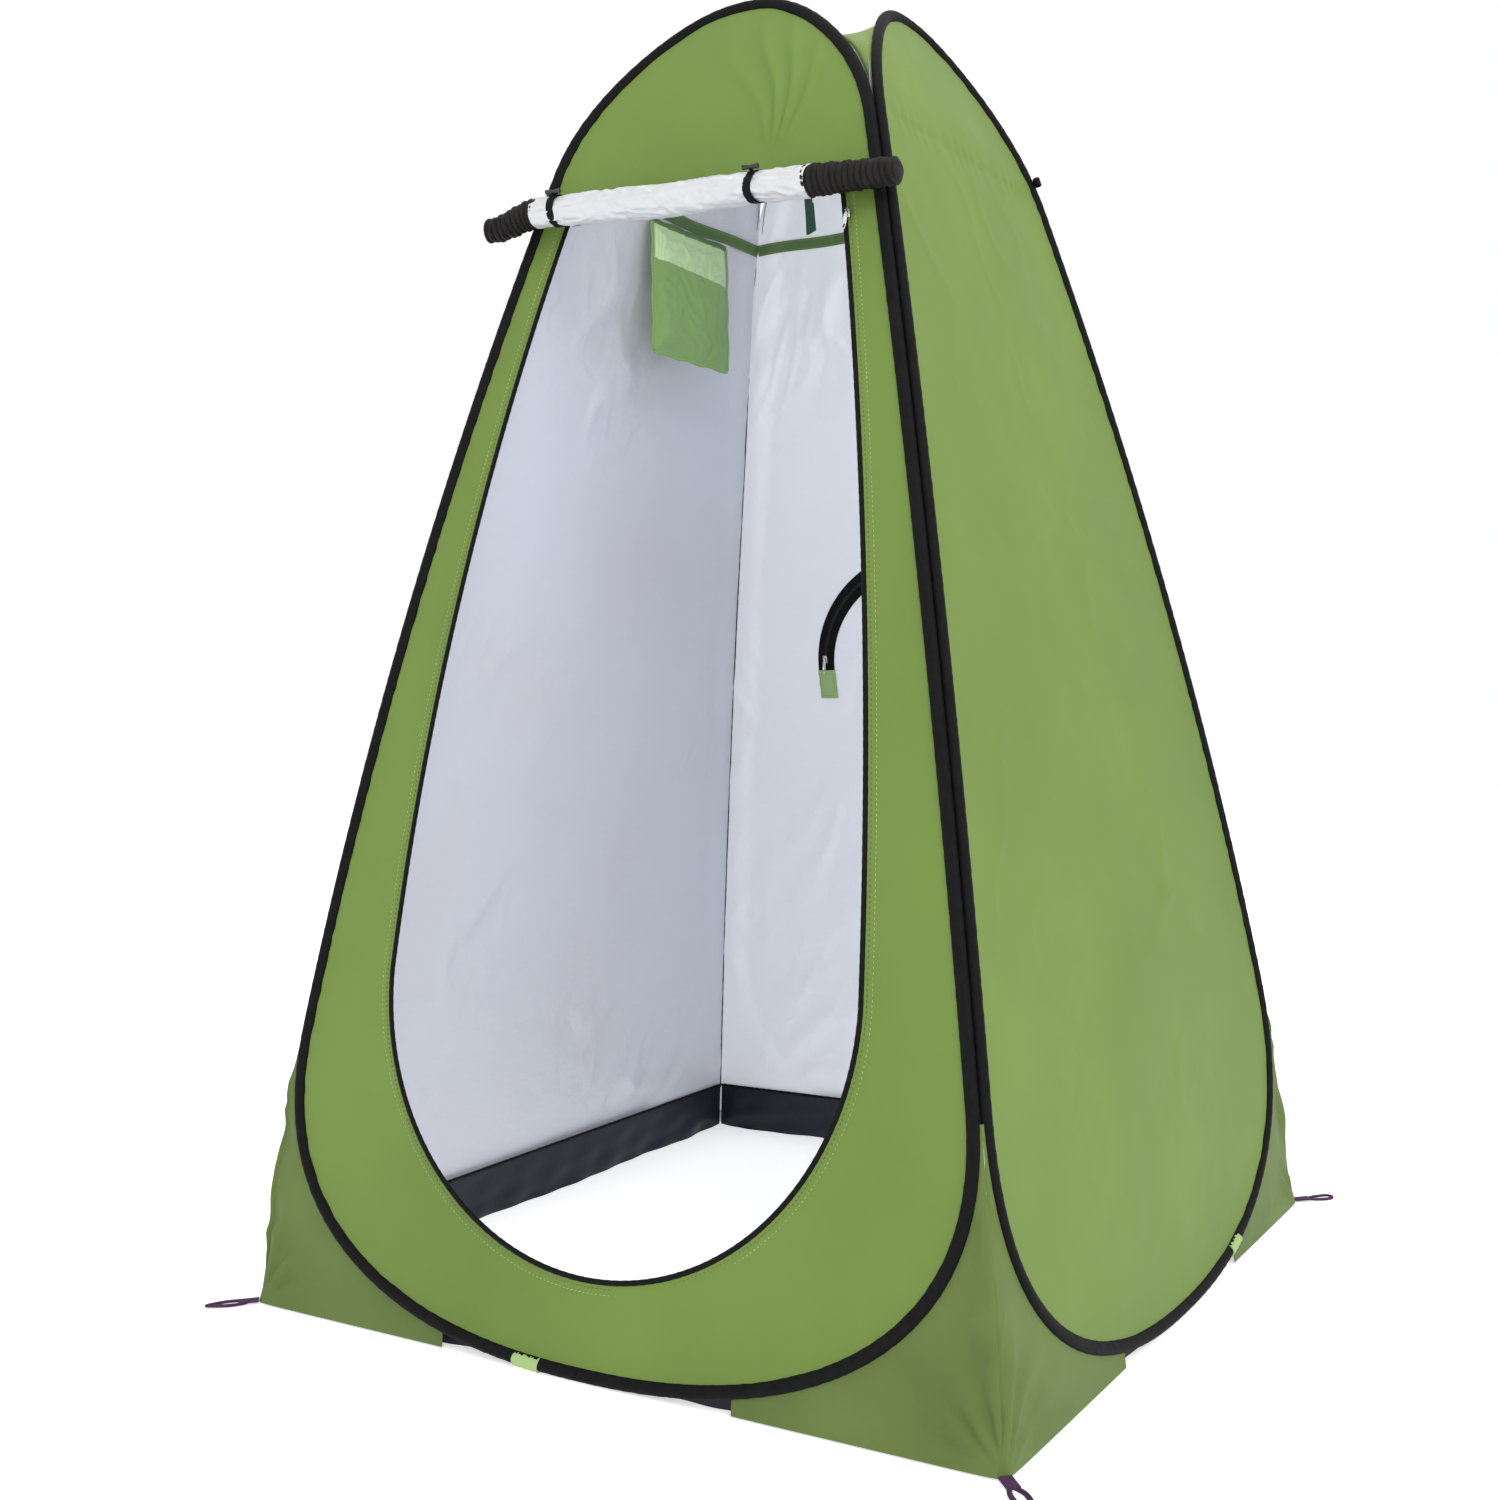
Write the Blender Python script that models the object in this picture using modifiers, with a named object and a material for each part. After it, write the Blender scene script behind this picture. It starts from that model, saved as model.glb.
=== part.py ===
"""Privacy shower tent: four egg-shaped spring-steel hoops, each in a fabric sleeve round a wall panel,
joined along their edges and over the roof. Metres, +Z up, front wall facing -Y, origin on the ground
under the middle. Every wall is the front wall turned about Z by quarter turns."""

import math

import bmesh
import bpy
from mathutils import Matrix, Vector

# Driving dimensions.
HEIGHT = 1.90
BASE_HALF = 0.605  # corner to middle at the ground
LEAN, BELLY, TUCK = 0.118, 0.047, 0.60  # how the wall draws in with height, per m, per m2 and above the neck
TOE_Z, NECK_Z = 0.41, 1.66  # neighbouring hoops run together between these heights
EGG = 2.3  # roundness of the hoop's toe and crown
SLEEVE_R, SLEEVE_WALL, WIRE_R = 0.0070, 0.0008, 0.0022
FERRULE_R, FERRULE_WALL, FERRULE_HALF = 0.0046, 0.0012, 0.014
HOOP_INSET = 0.0106  # hoop centre line to the corner line
QUARTER_STEPS, SIDE_STEPS = 7, 9
PATCH_HALF = 0.021  # half the gap in a sleeve, where its wire is joined
FABRIC = 0.0012
GAP = 0.0004
PATCH_U = {"front": -0.045, "right": 0.25, "back": 0.10, "left": -0.20}

DOOR_Z0, DOOR_Z1 = 0.125, 1.585  # door opening, bottom and top
DOOR_WIDEST_Z, DOOR_HALF = 0.50, 0.386
DOOR_TAPER, DOOR_ROUND = 0.038, 0.092
PIPING_R = 0.0030
# The slider rides this far off the piping, so that its straight slide clears the curved wall half way down.
DOOR_SLIDER_Z, DOOR_SLIDER_CLEAR, SLIDER_BESIDE = 1.520, 0.0022, 0.0040

ROLL_Z, ROLL_R = 1.572, 0.0225
ROLL_TILT = math.radians(3.3)  # its right end hangs lower
ROLL_OUT = 0.0325  # roll axis in front of the wall
ROLL_SPAN = (-0.258, 0.182)
ROLL_ENDS = (-0.336, 0.336)
TIE_U = (-0.222, 0.120)
TIE_WIDTH, TIE_STEPS = 0.014, 16
TOGGLE_TILT = math.radians(35)  # round the roll from its top towards the front

GUSSET_LOW = 0.0020
SKIRT_TOP, SKIRT_OUT = 0.088, -0.0088
TAPE_Z, TAPE_HALF = 1.676, 0.009
TAPE_OUT = -0.0022  # tapes lie on the inside of a wall
WINDOW_HALF, WINDOW_RISE, WINDOW_Z = 0.240, 0.200, 0.930
WINDOW_TAPE, ARCH_STEPS = 0.034, 16
POCKET_Y, POCKET_X = (-0.050, 0.160), -0.2640
POCKET_Z, POCKET_DEEP = (1.445, 1.653), 0.005
CROWN_Z = 1.862
STRAP_LONG, STRAP_TURN = 0.250, math.radians(-25)
STAKE_LONG, STAKE_WIDE, STAKE_THICK = 0.062, 0.024, 0.003

# Where the fold lines meet the ground. They lean in with the corners: inside them where a corner closes
# (front to left and right to back), outside them where it opens (front to right).
INNER_HINGE, OUTER_HINGE = 0.590, 0.652

WALLS = {"front": 0, "right": 1, "back": 2, "left": 3}
CORNERS = {"fl": ("front", "left"), "fr": ("front", "right"), "rr": ("right", "back"), "rl": ("back", "left")}

for old in list(bpy.data.objects):
    bpy.data.objects.remove(old)
tent = bpy.data.collections.new("privacy_shower_tent")
bpy.context.scene.collection.children.link(tent)


def material(name, colour, roughness=0.7, metallic=0.0):
    made = bpy.data.materials.new(name)
    made.use_nodes = True
    shader = made.node_tree.nodes["Principled BSDF"]
    shader.inputs["Base Color"].default_value = (*colour, 1)
    shader.inputs["Roughness"].default_value = roughness
    shader.inputs["Metallic"].default_value = metallic
    return made


GREEN = material("green_polyester", (0.22, 0.33, 0.11))
LIGHT_GREEN = material("light_green_fabric", (0.42, 0.58, 0.27))
DARK_GREEN = material("dark_green_webbing", (0.02, 0.05, 0.03))
SILVER = material("silver_lining", (0.62, 0.63, 0.70), 0.45)
BLACK = material("black_binding", (0.012, 0.012, 0.014))
SKIRT = material("black_skirt", (0.025, 0.027, 0.038))
PURPLE = material("stake_webbing", (0.05, 0.02, 0.06))
STEEL = material("spring_steel", (0.45, 0.45, 0.46), 0.35, 1.0)


def corner_half(z):
    """How far the corner line is from the middle, along X and along Y."""
    return BASE_HALF - LEAN * z - BELLY * z * z - TUCK * max(0.0, z - NECK_Z) ** 2


def on_wall(wall, u, z, out=0.0):
    """A point u to the right of a wall's middle, seen from outside, at height z and out from its surface."""
    step = 1e-4
    slope = (corner_half(z + step) - corner_half(z - step)) / (2 * step)
    outward = Vector((0, -1, -slope)).normalized()
    point = Vector((u, -corner_half(z), z)) + outward * out
    return Matrix.Rotation(math.radians(90 * WALLS[wall]), 3, "Z") @ point


def frame_on_wall(wall, z):
    """A rotation whose X runs along the wall and whose Y points into it, square to its surface at height z."""
    up = (on_wall(wall, 0, z + 0.01) - on_wall(wall, 0, z - 0.01)).normalized()
    along = (on_wall(wall, 1, z) - on_wall(wall, 0, z)).normalized()
    return Matrix((along, up.cross(along), up)).transposed().to_4x4()


def egg(s):
    return (1 - min(1.0, abs(s)) ** EGG) ** (1 / EGG)


def hoop_side(outset=0.0):
    """(u, z) up the right side of a hoop, from its lowest point to its highest, its outline grown by outset."""
    low, high = SLEEVE_R + GAP - outset, HEIGHT - SLEEVE_R + outset
    quarter = [math.sin(math.pi / 2 * i / QUARTER_STEPS) for i in range(QUARTER_STEPS + 1)]
    toe = [(TOE_Z - (TOE_Z - low) * s, egg(s)) for s in reversed(quarter)]
    side = [(TOE_Z + (NECK_Z - TOE_Z) * i / SIDE_STEPS, 1.0) for i in range(1, SIDE_STEPS)]
    crown = [(NECK_Z + (high - NECK_Z) * s, egg(s)) for s in quarter]
    return [((corner_half(z) - HOOP_INSET + outset) * share, z) for z, share in toe + side + crown]


def hoop_outline(outset=0.0):
    """(u, z) all round the hoop, counter-clockwise from its lowest point."""
    side = hoop_side(outset)
    return side + [(-u, z) for u, z in reversed(side[1:-1])]


def hoop_half(z, outset=0.0):
    """Half the hoop's width at height z, on the straight runs between hoop_side's points."""
    side = hoop_side(outset)
    for (u0, z0), (u1, z1) in zip(side, side[1:]):
        if z <= z1:
            return u0 + (u1 - u0) * max(0.0, z - z0) / (z1 - z0)
    return 0.0


pivots = {}


def pivot(body, at):
    """An empty on a moving body's joint axis; the body's pieces are its children."""
    pivots[body] = bpy.data.objects.new(body + "_pivot", None)
    pivots[body].location = at
    pivots[body].empty_display_size = 0.05
    tent.objects.link(pivots[body])


def add(name, data, surface, body):
    """Names a piece whose data is in world coordinates, and hangs it from its body's pivot."""
    piece = bpy.data.objects.new(name, data)
    tent.objects.link(piece)
    piece.data.materials.clear()
    piece.data.materials.append(surface)
    if body in pivots:
        piece.data.transform(Matrix.Translation(-pivots[body].location))
        piece.parent = pivots[body]
    return piece


def wire(name, points, radius, surface, body, closed=False, resolution=1, caps=True):
    curve = bpy.data.curves.new(name, "CURVE")
    curve.dimensions = "3D"
    curve.bevel_depth = radius
    curve.bevel_resolution = resolution
    curve.use_fill_caps = caps
    spline = curve.splines.new("POLY")
    spline.points.add(len(points) - 1)
    for point, place in zip(spline.points, points):
        point.co = (*place, 1)
    spline.use_cyclic_u = closed
    return add(name, curve, surface, body)


def sheet(name, rows, surface, body, thick=FABRIC):
    """Cloth through rows of points; neighbouring rows of the same length are joined by quads."""
    mesh = bpy.data.meshes.new(name)
    grid = bmesh.new()
    made = [[grid.verts.new(point) for point in row] for row in rows]
    for low, high in zip(made, made[1:]):
        for i in range(len(low) - 1):
            grid.faces.new((low[i], low[i + 1], high[i + 1], high[i]))
    bmesh.ops.remove_doubles(grid, verts=grid.verts, dist=1e-5)
    bmesh.ops.recalc_face_normals(grid, faces=grid.faces)
    grid.to_mesh(mesh)
    grid.free()
    piece = add(name, mesh, surface, body)
    thicken(piece, thick)
    return piece


def thicken(piece, thick, offset=0.0):
    shell = piece.modifiers.new("thickness", "SOLIDIFY")
    shell.thickness = thick
    shell.offset = offset
    shell.use_even_offset = True


def block(name, size, place, turn, surface, body, rounded=0.0008):
    """A small box with rounded edges, its middle at place."""
    mesh = bpy.data.meshes.new(name)
    solid = bmesh.new()
    bmesh.ops.create_cube(solid, size=1, matrix=Matrix.Diagonal((*size, 1)))
    solid.transform(Matrix.Translation(place) @ turn)
    solid.to_mesh(mesh)
    solid.free()
    piece = add(name, mesh, surface, body)
    edge = piece.modifiers.new("rounded", "BEVEL")
    edge.width = rounded
    edge.segments = 1
    return piece


def hoop(wall):
    """The spring-steel wire, the ferrule that joins its ends, the sleeve round it and the patch over the join."""
    outline = [Vector(point) for point in hoop_outline()]
    count = len(outline)

    def off_patch(k):
        middle = (outline[k] + outline[(k + 1) % count]) / 2
        return abs(middle.x - PATCH_U[wall]) + middle.y

    join = min(range(count), key=off_patch)
    start, end = outline[join], outline[(join + 1) % count]
    middle, run = (start + end) / 2, (end - start).normalized()
    round_hoop = [on_wall(wall, *p) for p in outline]
    wire(wall + "_hoop", round_hoop, WIRE_R, STEEL, wall, closed=True, resolution=0)
    for name, half, radius, shell, surface in (
        ("_ferrule", FERRULE_HALF, FERRULE_R, FERRULE_WALL, STEEL),
        ("_sleeve_patch", PATCH_HALF - GAP, SLEEVE_R, SLEEVE_WALL, LIGHT_GREEN),
    ):
        line = [on_wall(wall, *(middle + run * side * half)) for side in (-1, 1)]
        thicken(wire(wall + name, line, radius - shell / 2, surface, wall, caps=False, resolution=2), shell)
    round_it = [outline[(join + 1 + i) % count] for i in range(count)]
    around = [middle + run * PATCH_HALF] + round_it + [middle - run * PATCH_HALF]
    line = [on_wall(wall, *p) for p in around]
    thicken(wire(wall + "_sleeve", line, SLEEVE_R - SLEEVE_WALL / 2, BLACK, wall, caps=False), SLEEVE_WALL)


def plain_panel(wall):
    rows = [[on_wall(wall, side * u, z) for side in (-1, 1)] for u, z in hoop_side(-SLEEVE_R - GAP)]
    sheet(wall + "_panel", rows, GREEN, wall)


def door_half(z):
    if z < DOOR_WIDEST_Z:
        return DOOR_HALF * math.sqrt(max(0.0, 1 - ((DOOR_WIDEST_Z - z) / (DOOR_WIDEST_Z - DOOR_Z0)) ** 2))
    return DOOR_HALF - DOOR_TAPER * (z - DOOR_WIDEST_Z) - DOOR_ROUND * (z - DOOR_WIDEST_Z) ** 2


def door_heights():
    sill = [DOOR_WIDEST_Z - (DOOR_WIDEST_Z - DOOR_Z0) * math.cos(math.pi / 2 * i / 12) for i in range(13)]
    return sill + [DOOR_WIDEST_Z + (DOOR_Z1 - DOOR_WIDEST_Z) * i / 14 for i in range(1, 15)]


def door_half_at(z):
    """Half the door's width at height z, on the straight runs between door_heights."""
    heights = door_heights()
    for low, high in zip(heights, heights[1:]):
        if z <= high + 1e-9:
            return door_half(low) + (door_half(high) - door_half(low)) * (z - low) / (high - low)
    return door_half(DOOR_Z1)


def front_panel():
    """The front panel: below the door, each side of it and above it, as one sheet."""
    edge = -SLEEVE_R - GAP
    hems = [z for u, z in hoop_side(edge)]
    doors = door_heights()
    between = [z for z in hems if DOOR_Z0 < z < DOOR_Z1 and min(abs(z - d) for d in doors) > 0.004]
    beside = sorted(doors + between)
    mesh = bpy.data.meshes.new("front_panel")
    cloth = bmesh.new()

    def row(z, spots):
        return [cloth.verts.new(on_wall("front", u, z)) for u in spots]

    def bridge(a, b):
        cloth.faces.new(a + b[::-1])

    rows = [row(z, (-hoop_half(z, edge), 0, hoop_half(z, edge))) for z in hems if z < DOOR_Z0 - 0.004]
    rows.append(row(DOOR_Z0, (-hoop_half(DOOR_Z0, edge), 0, hoop_half(DOOR_Z0, edge))))
    for a, b in zip(rows, rows[1:]):
        bridge(a[:2], b[:2])
        bridge(a[1:], b[1:])
    left, right = rows[-1][:2], rows[-1][1:]
    for z in beside[1:]:
        door = door_half_at(z)
        sides = row(z, (-hoop_half(z, edge), -door, door, hoop_half(z, edge)))
        bridge(left, sides[:2])
        bridge(right, sides[2:])
        left, right = sides[:2], sides[2:]
    lintel = left + right
    for z in [z for z in hems if z > DOOR_Z1 + 0.004]:
        top = row(z, (-hoop_half(z, edge), hoop_half(z, edge)))
        bridge(lintel, top)
        lintel = top
    bmesh.ops.remove_doubles(cloth, verts=cloth.verts, dist=1e-5)
    bmesh.ops.recalc_face_normals(cloth, faces=cloth.faces)
    cloth.to_mesh(mesh)
    cloth.free()
    thicken(add("front_panel", mesh, GREEN, "front"), FABRIC)


def gusset(name, wall, side):
    """Half a corner's gusset, in one wall's surface: from the hoop's toe out to the corner line and the ground."""
    outline = [(u, z) for u, z in hoop_side(SLEEVE_R + GAP) if GUSSET_LOW < z < TOE_Z - 0.02]
    rows = []
    for near, z in [(hoop_half(GUSSET_LOW, SLEEVE_R + GAP), GUSSET_LOW)] + outline:
        far = corner_half(z) - FABRIC
        rows.append([on_wall(wall, side * u, z) for u in (near, far)])
    sheet(name, rows, GREEN, wall, thick=0.0010)


def skirt(wall):
    """The black band along the ground, inside the wall."""
    rows = []
    for z in (0.0, SKIRT_TOP / 2, SKIRT_TOP):
        end = corner_half(z) - 0.0135
        rows.append([on_wall(wall, u, z, SKIRT_OUT) for u in (-end, end)])
    low = min(point.z for point in rows[0])
    rows[0] = [point + Vector((0, 0, 0.0004 - low)) for point in rows[0]]
    sheet(wall + "_skirt", rows, SKIRT, wall, thick=0.0010)


def roof(wall):
    """A quarter of the roof, from one hoop's crown to the middle."""
    crown = [p for p in hoop_outline(-0.0010) if p[1] >= NECK_Z - 1e-6]
    crown.sort(key=lambda p: p[0])
    middle = on_wall(wall, 0, CROWN_Z) * 0.012
    middle.z = CROWN_Z
    rows = []
    for share in (1.0, 0.90, 0.74, 0.50, 0.02):
        row = []
        for u, z in crown:
            edge = on_wall(wall, u, z, -SLEEVE_R - FABRIC)
            point = middle.lerp(edge, share)
            point.z = CROWN_Z + (edge.z - CROWN_Z) * share**3
            row.append(point)
        rows.append(row)
    sheet(wall + "_roof", rows, GREEN, wall, thick=0.0008)


def seam_tape(wall):
    half = hoop_half(TAPE_Z, -SLEEVE_R) - 0.004
    rows = [
        [on_wall(wall, u, z, TAPE_OUT) for u in (-half, half)] for z in (TAPE_Z - TAPE_HALF, TAPE_Z + TAPE_HALF)
    ]
    sheet(wall + "_seam_tape", rows, GREEN, wall, thick=0.0010)


def stake_loop(corner, signs):
    """A flat webbing loop on the ground, pointing out from its corner."""
    out = Vector((signs[0], signs[1], 0)).normalized()
    body = CORNERS[corner][0] if corner != "rl" else "left"
    turn = math.atan2(out.y, out.x)
    middle = out * ((BASE_HALF + 0.003) * math.sqrt(2) + STAKE_LONG / 2)
    curve = bpy.data.curves.new("stake_loop_" + corner, "CURVE")
    curve.dimensions = "2D"
    curve.fill_mode = "BOTH"
    curve.extrude = STAKE_THICK / 2
    outer, slot = (STAKE_LONG / 2, STAKE_WIDE / 2), (STAKE_LONG / 2 - 0.007, STAKE_WIDE / 2 - 0.006)
    for half_long, half_wide in (outer, slot):
        spline = curve.splines.new("POLY")
        ends = []
        for centre, first in ((half_long - half_wide, -90), (half_wide - half_long, 90)):
            for i in range(7):
                angle = math.radians(first + 30 * i)
                ends.append((centre + half_wide * math.cos(angle), half_wide * math.sin(angle)))
        spline.points.add(len(ends) - 1)
        for point, place in zip(spline.points, ends):
            point.co = (*place, 0, 1)
        spline.use_cyclic_u = True
    flat = bpy.data.objects.new("stake_outline", curve)
    tent.objects.link(flat)
    bpy.context.view_layer.update()
    mesh = bpy.data.meshes.new_from_object(flat.evaluated_get(bpy.context.evaluated_depsgraph_get()))
    bpy.data.objects.remove(flat)
    welded = bmesh.new()
    welded.from_mesh(mesh)
    bmesh.ops.remove_doubles(welded, verts=welded.verts, dist=1e-6)
    welded.transform(Matrix.Translation(middle + Vector((0, 0, STAKE_THICK / 2))) @ Matrix.Rotation(turn, 4, "Z"))
    welded.to_mesh(mesh)
    welded.free()
    add("stake_loop_" + corner, mesh, PURPLE, body)


def along_roll(place):
    """The world point of a place given from the middle of the roll, X along its axis."""
    return on_wall("front", 0, ROLL_Z, ROLL_OUT) + Matrix.Rotation(ROLL_TILT, 3, "Y") @ Vector(place)


def round_bar(name, ends, radii, surface, body, sides=14):
    """A bar along the front wall's X, turned from (u, radius) pairs by a Screw."""
    mesh = bpy.data.meshes.new(name)
    profile = bmesh.new()
    places = [(ends[0], 0.0)] + list(zip(ends, radii)) + [(ends[-1], 0.0)]
    verts = [profile.verts.new((u, radius, 0)) for u, radius in places]
    for a, b in zip(verts, verts[1:]):
        profile.edges.new((a, b))
    profile.to_mesh(mesh)
    profile.free()
    piece = add(name, mesh, surface, body)
    turn = piece.modifiers.new("turned", "SCREW")
    turn.axis = "X"
    turn.steps = turn.render_steps = sides
    turn.use_merge_vertices = True
    turn.merge_threshold = 0.0001
    turn.use_normal_flip = True
    piece.location = along_roll((0, 0, 0))
    piece.rotation_euler.y = ROLL_TILT
    return piece


def door_roll():
    """The door, rolled up above its opening: silver cloth between two ends of gathered zip tape."""
    round_bar("door_roll", (ROLL_SPAN[0] + GAP, ROLL_SPAN[1] - GAP), (ROLL_R, ROLL_R), SILVER, "front")
    for name, span, start_r, end_r in (
        ("roll_end_left", (ROLL_ENDS[0], ROLL_SPAN[0]), 0.0185, 0.0205),
        ("roll_end_right", (ROLL_SPAN[1], ROLL_ENDS[1]), 0.0205, 0.0165),
    ):
        ridges = round((span[1] - span[0]) / 0.016)
        places, radii = [], []
        for i in range(2 * ridges + 1):
            share = i / (2 * ridges)
            places.append(span[0] + (span[1] - span[0]) * share)
            radii.append(start_r + (end_r - start_r) * share - (0.0022 if i % 2 else 0.0))
        round_bar(name, places, radii, BLACK, "front", sides=12)


def tie(name, u):
    """A strap hanging from the wall and round the roll, with the toggle that closes it."""
    radius = ROLL_R + 0.0018
    rows = []
    for i in range(TIE_STEPS + 1):
        angle = math.radians(100 + 345 * i / TIE_STEPS)
        across = (math.cos(angle) * radius, math.sin(angle) * radius)
        rows.append([along_roll((u + side * TIE_WIDTH / 2, *across)) for side in (-1, 1)])
    sheet("tie_strap_" + name, rows, BLACK, "front", thick=0.0014)
    lift = radius + 0.0042
    place = along_roll((u, -math.sin(TOGGLE_TILT) * lift, math.cos(TOGGLE_TILT) * lift))
    body = "toggle_" + name
    pivot(body, place)
    turn = Matrix.Rotation(ROLL_TILT, 4, "Y") @ Matrix.Rotation(TOGGLE_TILT, 4, "X")
    block(body, (0.026, 0.0055, 0.0055), place, turn, BLACK, body)


def inset(outline, distance):
    """A closed counter-clockwise outline of (u, z), each side moved in by distance."""
    points = [Vector(point) for point in outline]
    moved = []
    for before, here, after in zip(points[-1:] + points, points, points[1:] + points[:1]):
        into = [Vector((a.y - b.y, b.x - a.x)).normalized() for a, b in ((before, here), (here, after))]
        moved.append(here + (into[0] + into[1]) * distance / (1 + into[0].dot(into[1])))
    return moved


def door_piping():
    """The piped hem round the door opening, with its zip."""
    side = [(door_half(z), z) for z in door_heights()]
    hem = inset(side + [(-u, z) for u, z in reversed(side[1:])], PIPING_R + GAP)
    wire("door_piping", [on_wall("front", u, z) for u, z in hem], PIPING_R, BLACK, "front", closed=True)


def zip_slider(prefix, wall, u, z, out, face):
    """A slider on a zip, and the pull that swings from its top. face is 1 outside the wall and -1 inside."""
    turn = frame_on_wall(wall, z)
    up = turn.to_3x3() @ Vector((0, 0, 1))
    place = on_wall(wall, u, z, face * (out + 0.0020))
    pivot(prefix + "_slider", place)
    block(prefix + "_zip_slider", (0.010, 0.0040, 0.015), place, turn, STEEL, prefix + "_slider")
    hinge = on_wall(wall, u, z, face * (out + 0.0053)) + up * 0.004
    pivot(prefix + "_pull", hinge)
    hang, turn = (up, turn) if face > 0 else (Vector((0, 0, 1)), Matrix.Identity(4))
    block(prefix + "_zip_pull", (0.007, 0.0016, 0.030), hinge - hang * 0.0155, turn, STEEL, prefix + "_pull", 0.0005)


def window_zip():
    """The arched zip of the back window, inside the back wall, with a fabric tab at its lower end."""
    rows = []
    for i in range(ARCH_STEPS + 1):
        angle = math.pi * i / ARCH_STEPS
        across, up = math.cos(angle), math.sin(angle)
        row = []
        for side in (-WINDOW_TAPE / 2, WINDOW_TAPE / 2):
            u, z = (WINDOW_HALF + side) * across, WINDOW_Z + (WINDOW_RISE + side) * up
            row.append(on_wall("back", u, z, TAPE_OUT))
        rows.append(row)
    sheet("window_zip_tape", rows, BLACK, "back")
    low, high = WINDOW_Z - 0.048, WINDOW_Z - 0.002
    tab = [[on_wall("back", WINDOW_HALF + side * WINDOW_TAPE / 2, z, TAPE_OUT) for side in (-1, 1)] for z in (low, high)]
    sheet("window_end_tab", tab, LIGHT_GREEN, "back")
    zip_slider("window", "back", WINDOW_HALF, WINDOW_Z + 0.022, FABRIC - TAPE_OUT, -1)


def pocket():
    """A bag hanging plumb from the left wall's seam."""
    top = Vector((POCKET_X, sum(POCKET_Y) / 2, POCKET_Z[1]))
    pivot("pocket", top)
    size = (POCKET_DEEP, POCKET_Y[1] - POCKET_Y[0], POCKET_Z[1] - POCKET_Z[0])
    place = Vector((POCKET_X, top.y, sum(POCKET_Z) / 2))
    block("storage_pocket", size, place, Matrix.Identity(4), LIGHT_GREEN, "pocket", 0.0015)


def hanging_strap():
    """A webbing strap that hangs from the roof, for a shower bag or a lamp."""
    top = Vector((0, 0, CROWN_Z - 0.004))
    pivot("strap", top)
    place = top - Vector((0, 0, STRAP_LONG / 2))
    turn = Matrix.Rotation(STRAP_TURN, 4, "Z")
    block("hanging_strap", (0.030, 0.0016, STRAP_LONG), place, turn, DARK_GREEN, "strap", 0.0005)


def guy_loop():
    """A small webbing loop on the right wall's rear edge, for a guy line."""
    z = 1.702
    place = on_wall("right", corner_half(z) - 0.012, z, 0.0130)
    block("guy_loop", (0.014, 0.0100, 0.014), place, frame_on_wall("right", z), BLACK, "right", 0.0025)


pivot("left", Vector((-INNER_HINGE, -INNER_HINGE, 0)))
pivot("right", Vector((OUTER_HINGE, -OUTER_HINGE, 0)))
pivot("back", Vector((INNER_HINGE, INNER_HINGE, 0)))

for wall in WALLS:
    hoop(wall)
    skirt(wall)
    roof(wall)
    if wall != "front":
        plain_panel(wall)
front_panel()
for corner, (first, second) in CORNERS.items():
    for wall in (first, second):
        right_of_wall = {"front": "fr", "right": "rr", "back": "rl", "left": "fl"}[wall] == corner
        gusset(f"gusset_{corner}_{wall}", wall, 1 if right_of_wall else -1)
for corner, signs in {"fl": (-1, -1), "fr": (1, -1), "rr": (1, 1), "rl": (-1, 1)}.items():
    stake_loop(corner, signs)
seam_tape("left")
seam_tape("back")
door_piping()
door_roll()
tie("left", TIE_U[0])
tie("right", TIE_U[1])
slider_u = door_half(DOOR_SLIDER_Z) + SLIDER_BESIDE
zip_slider("door", "front", slider_u, DOOR_SLIDER_Z, PIPING_R + DOOR_SLIDER_CLEAR, 1)
window_zip()
pocket()
hanging_strap()
guy_loop()
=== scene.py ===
"""Looks of the privacy shower tent: fabric, bindings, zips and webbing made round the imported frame.

A wall's own coordinates are u, to the right along it seen from outside, and z, the height. Every wall is
the front wall turned about Z by quarter turns, as in the frame."""

import math

import bmesh
import bpy
import numpy as np
from mathutils import Matrix, Vector, noise


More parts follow.
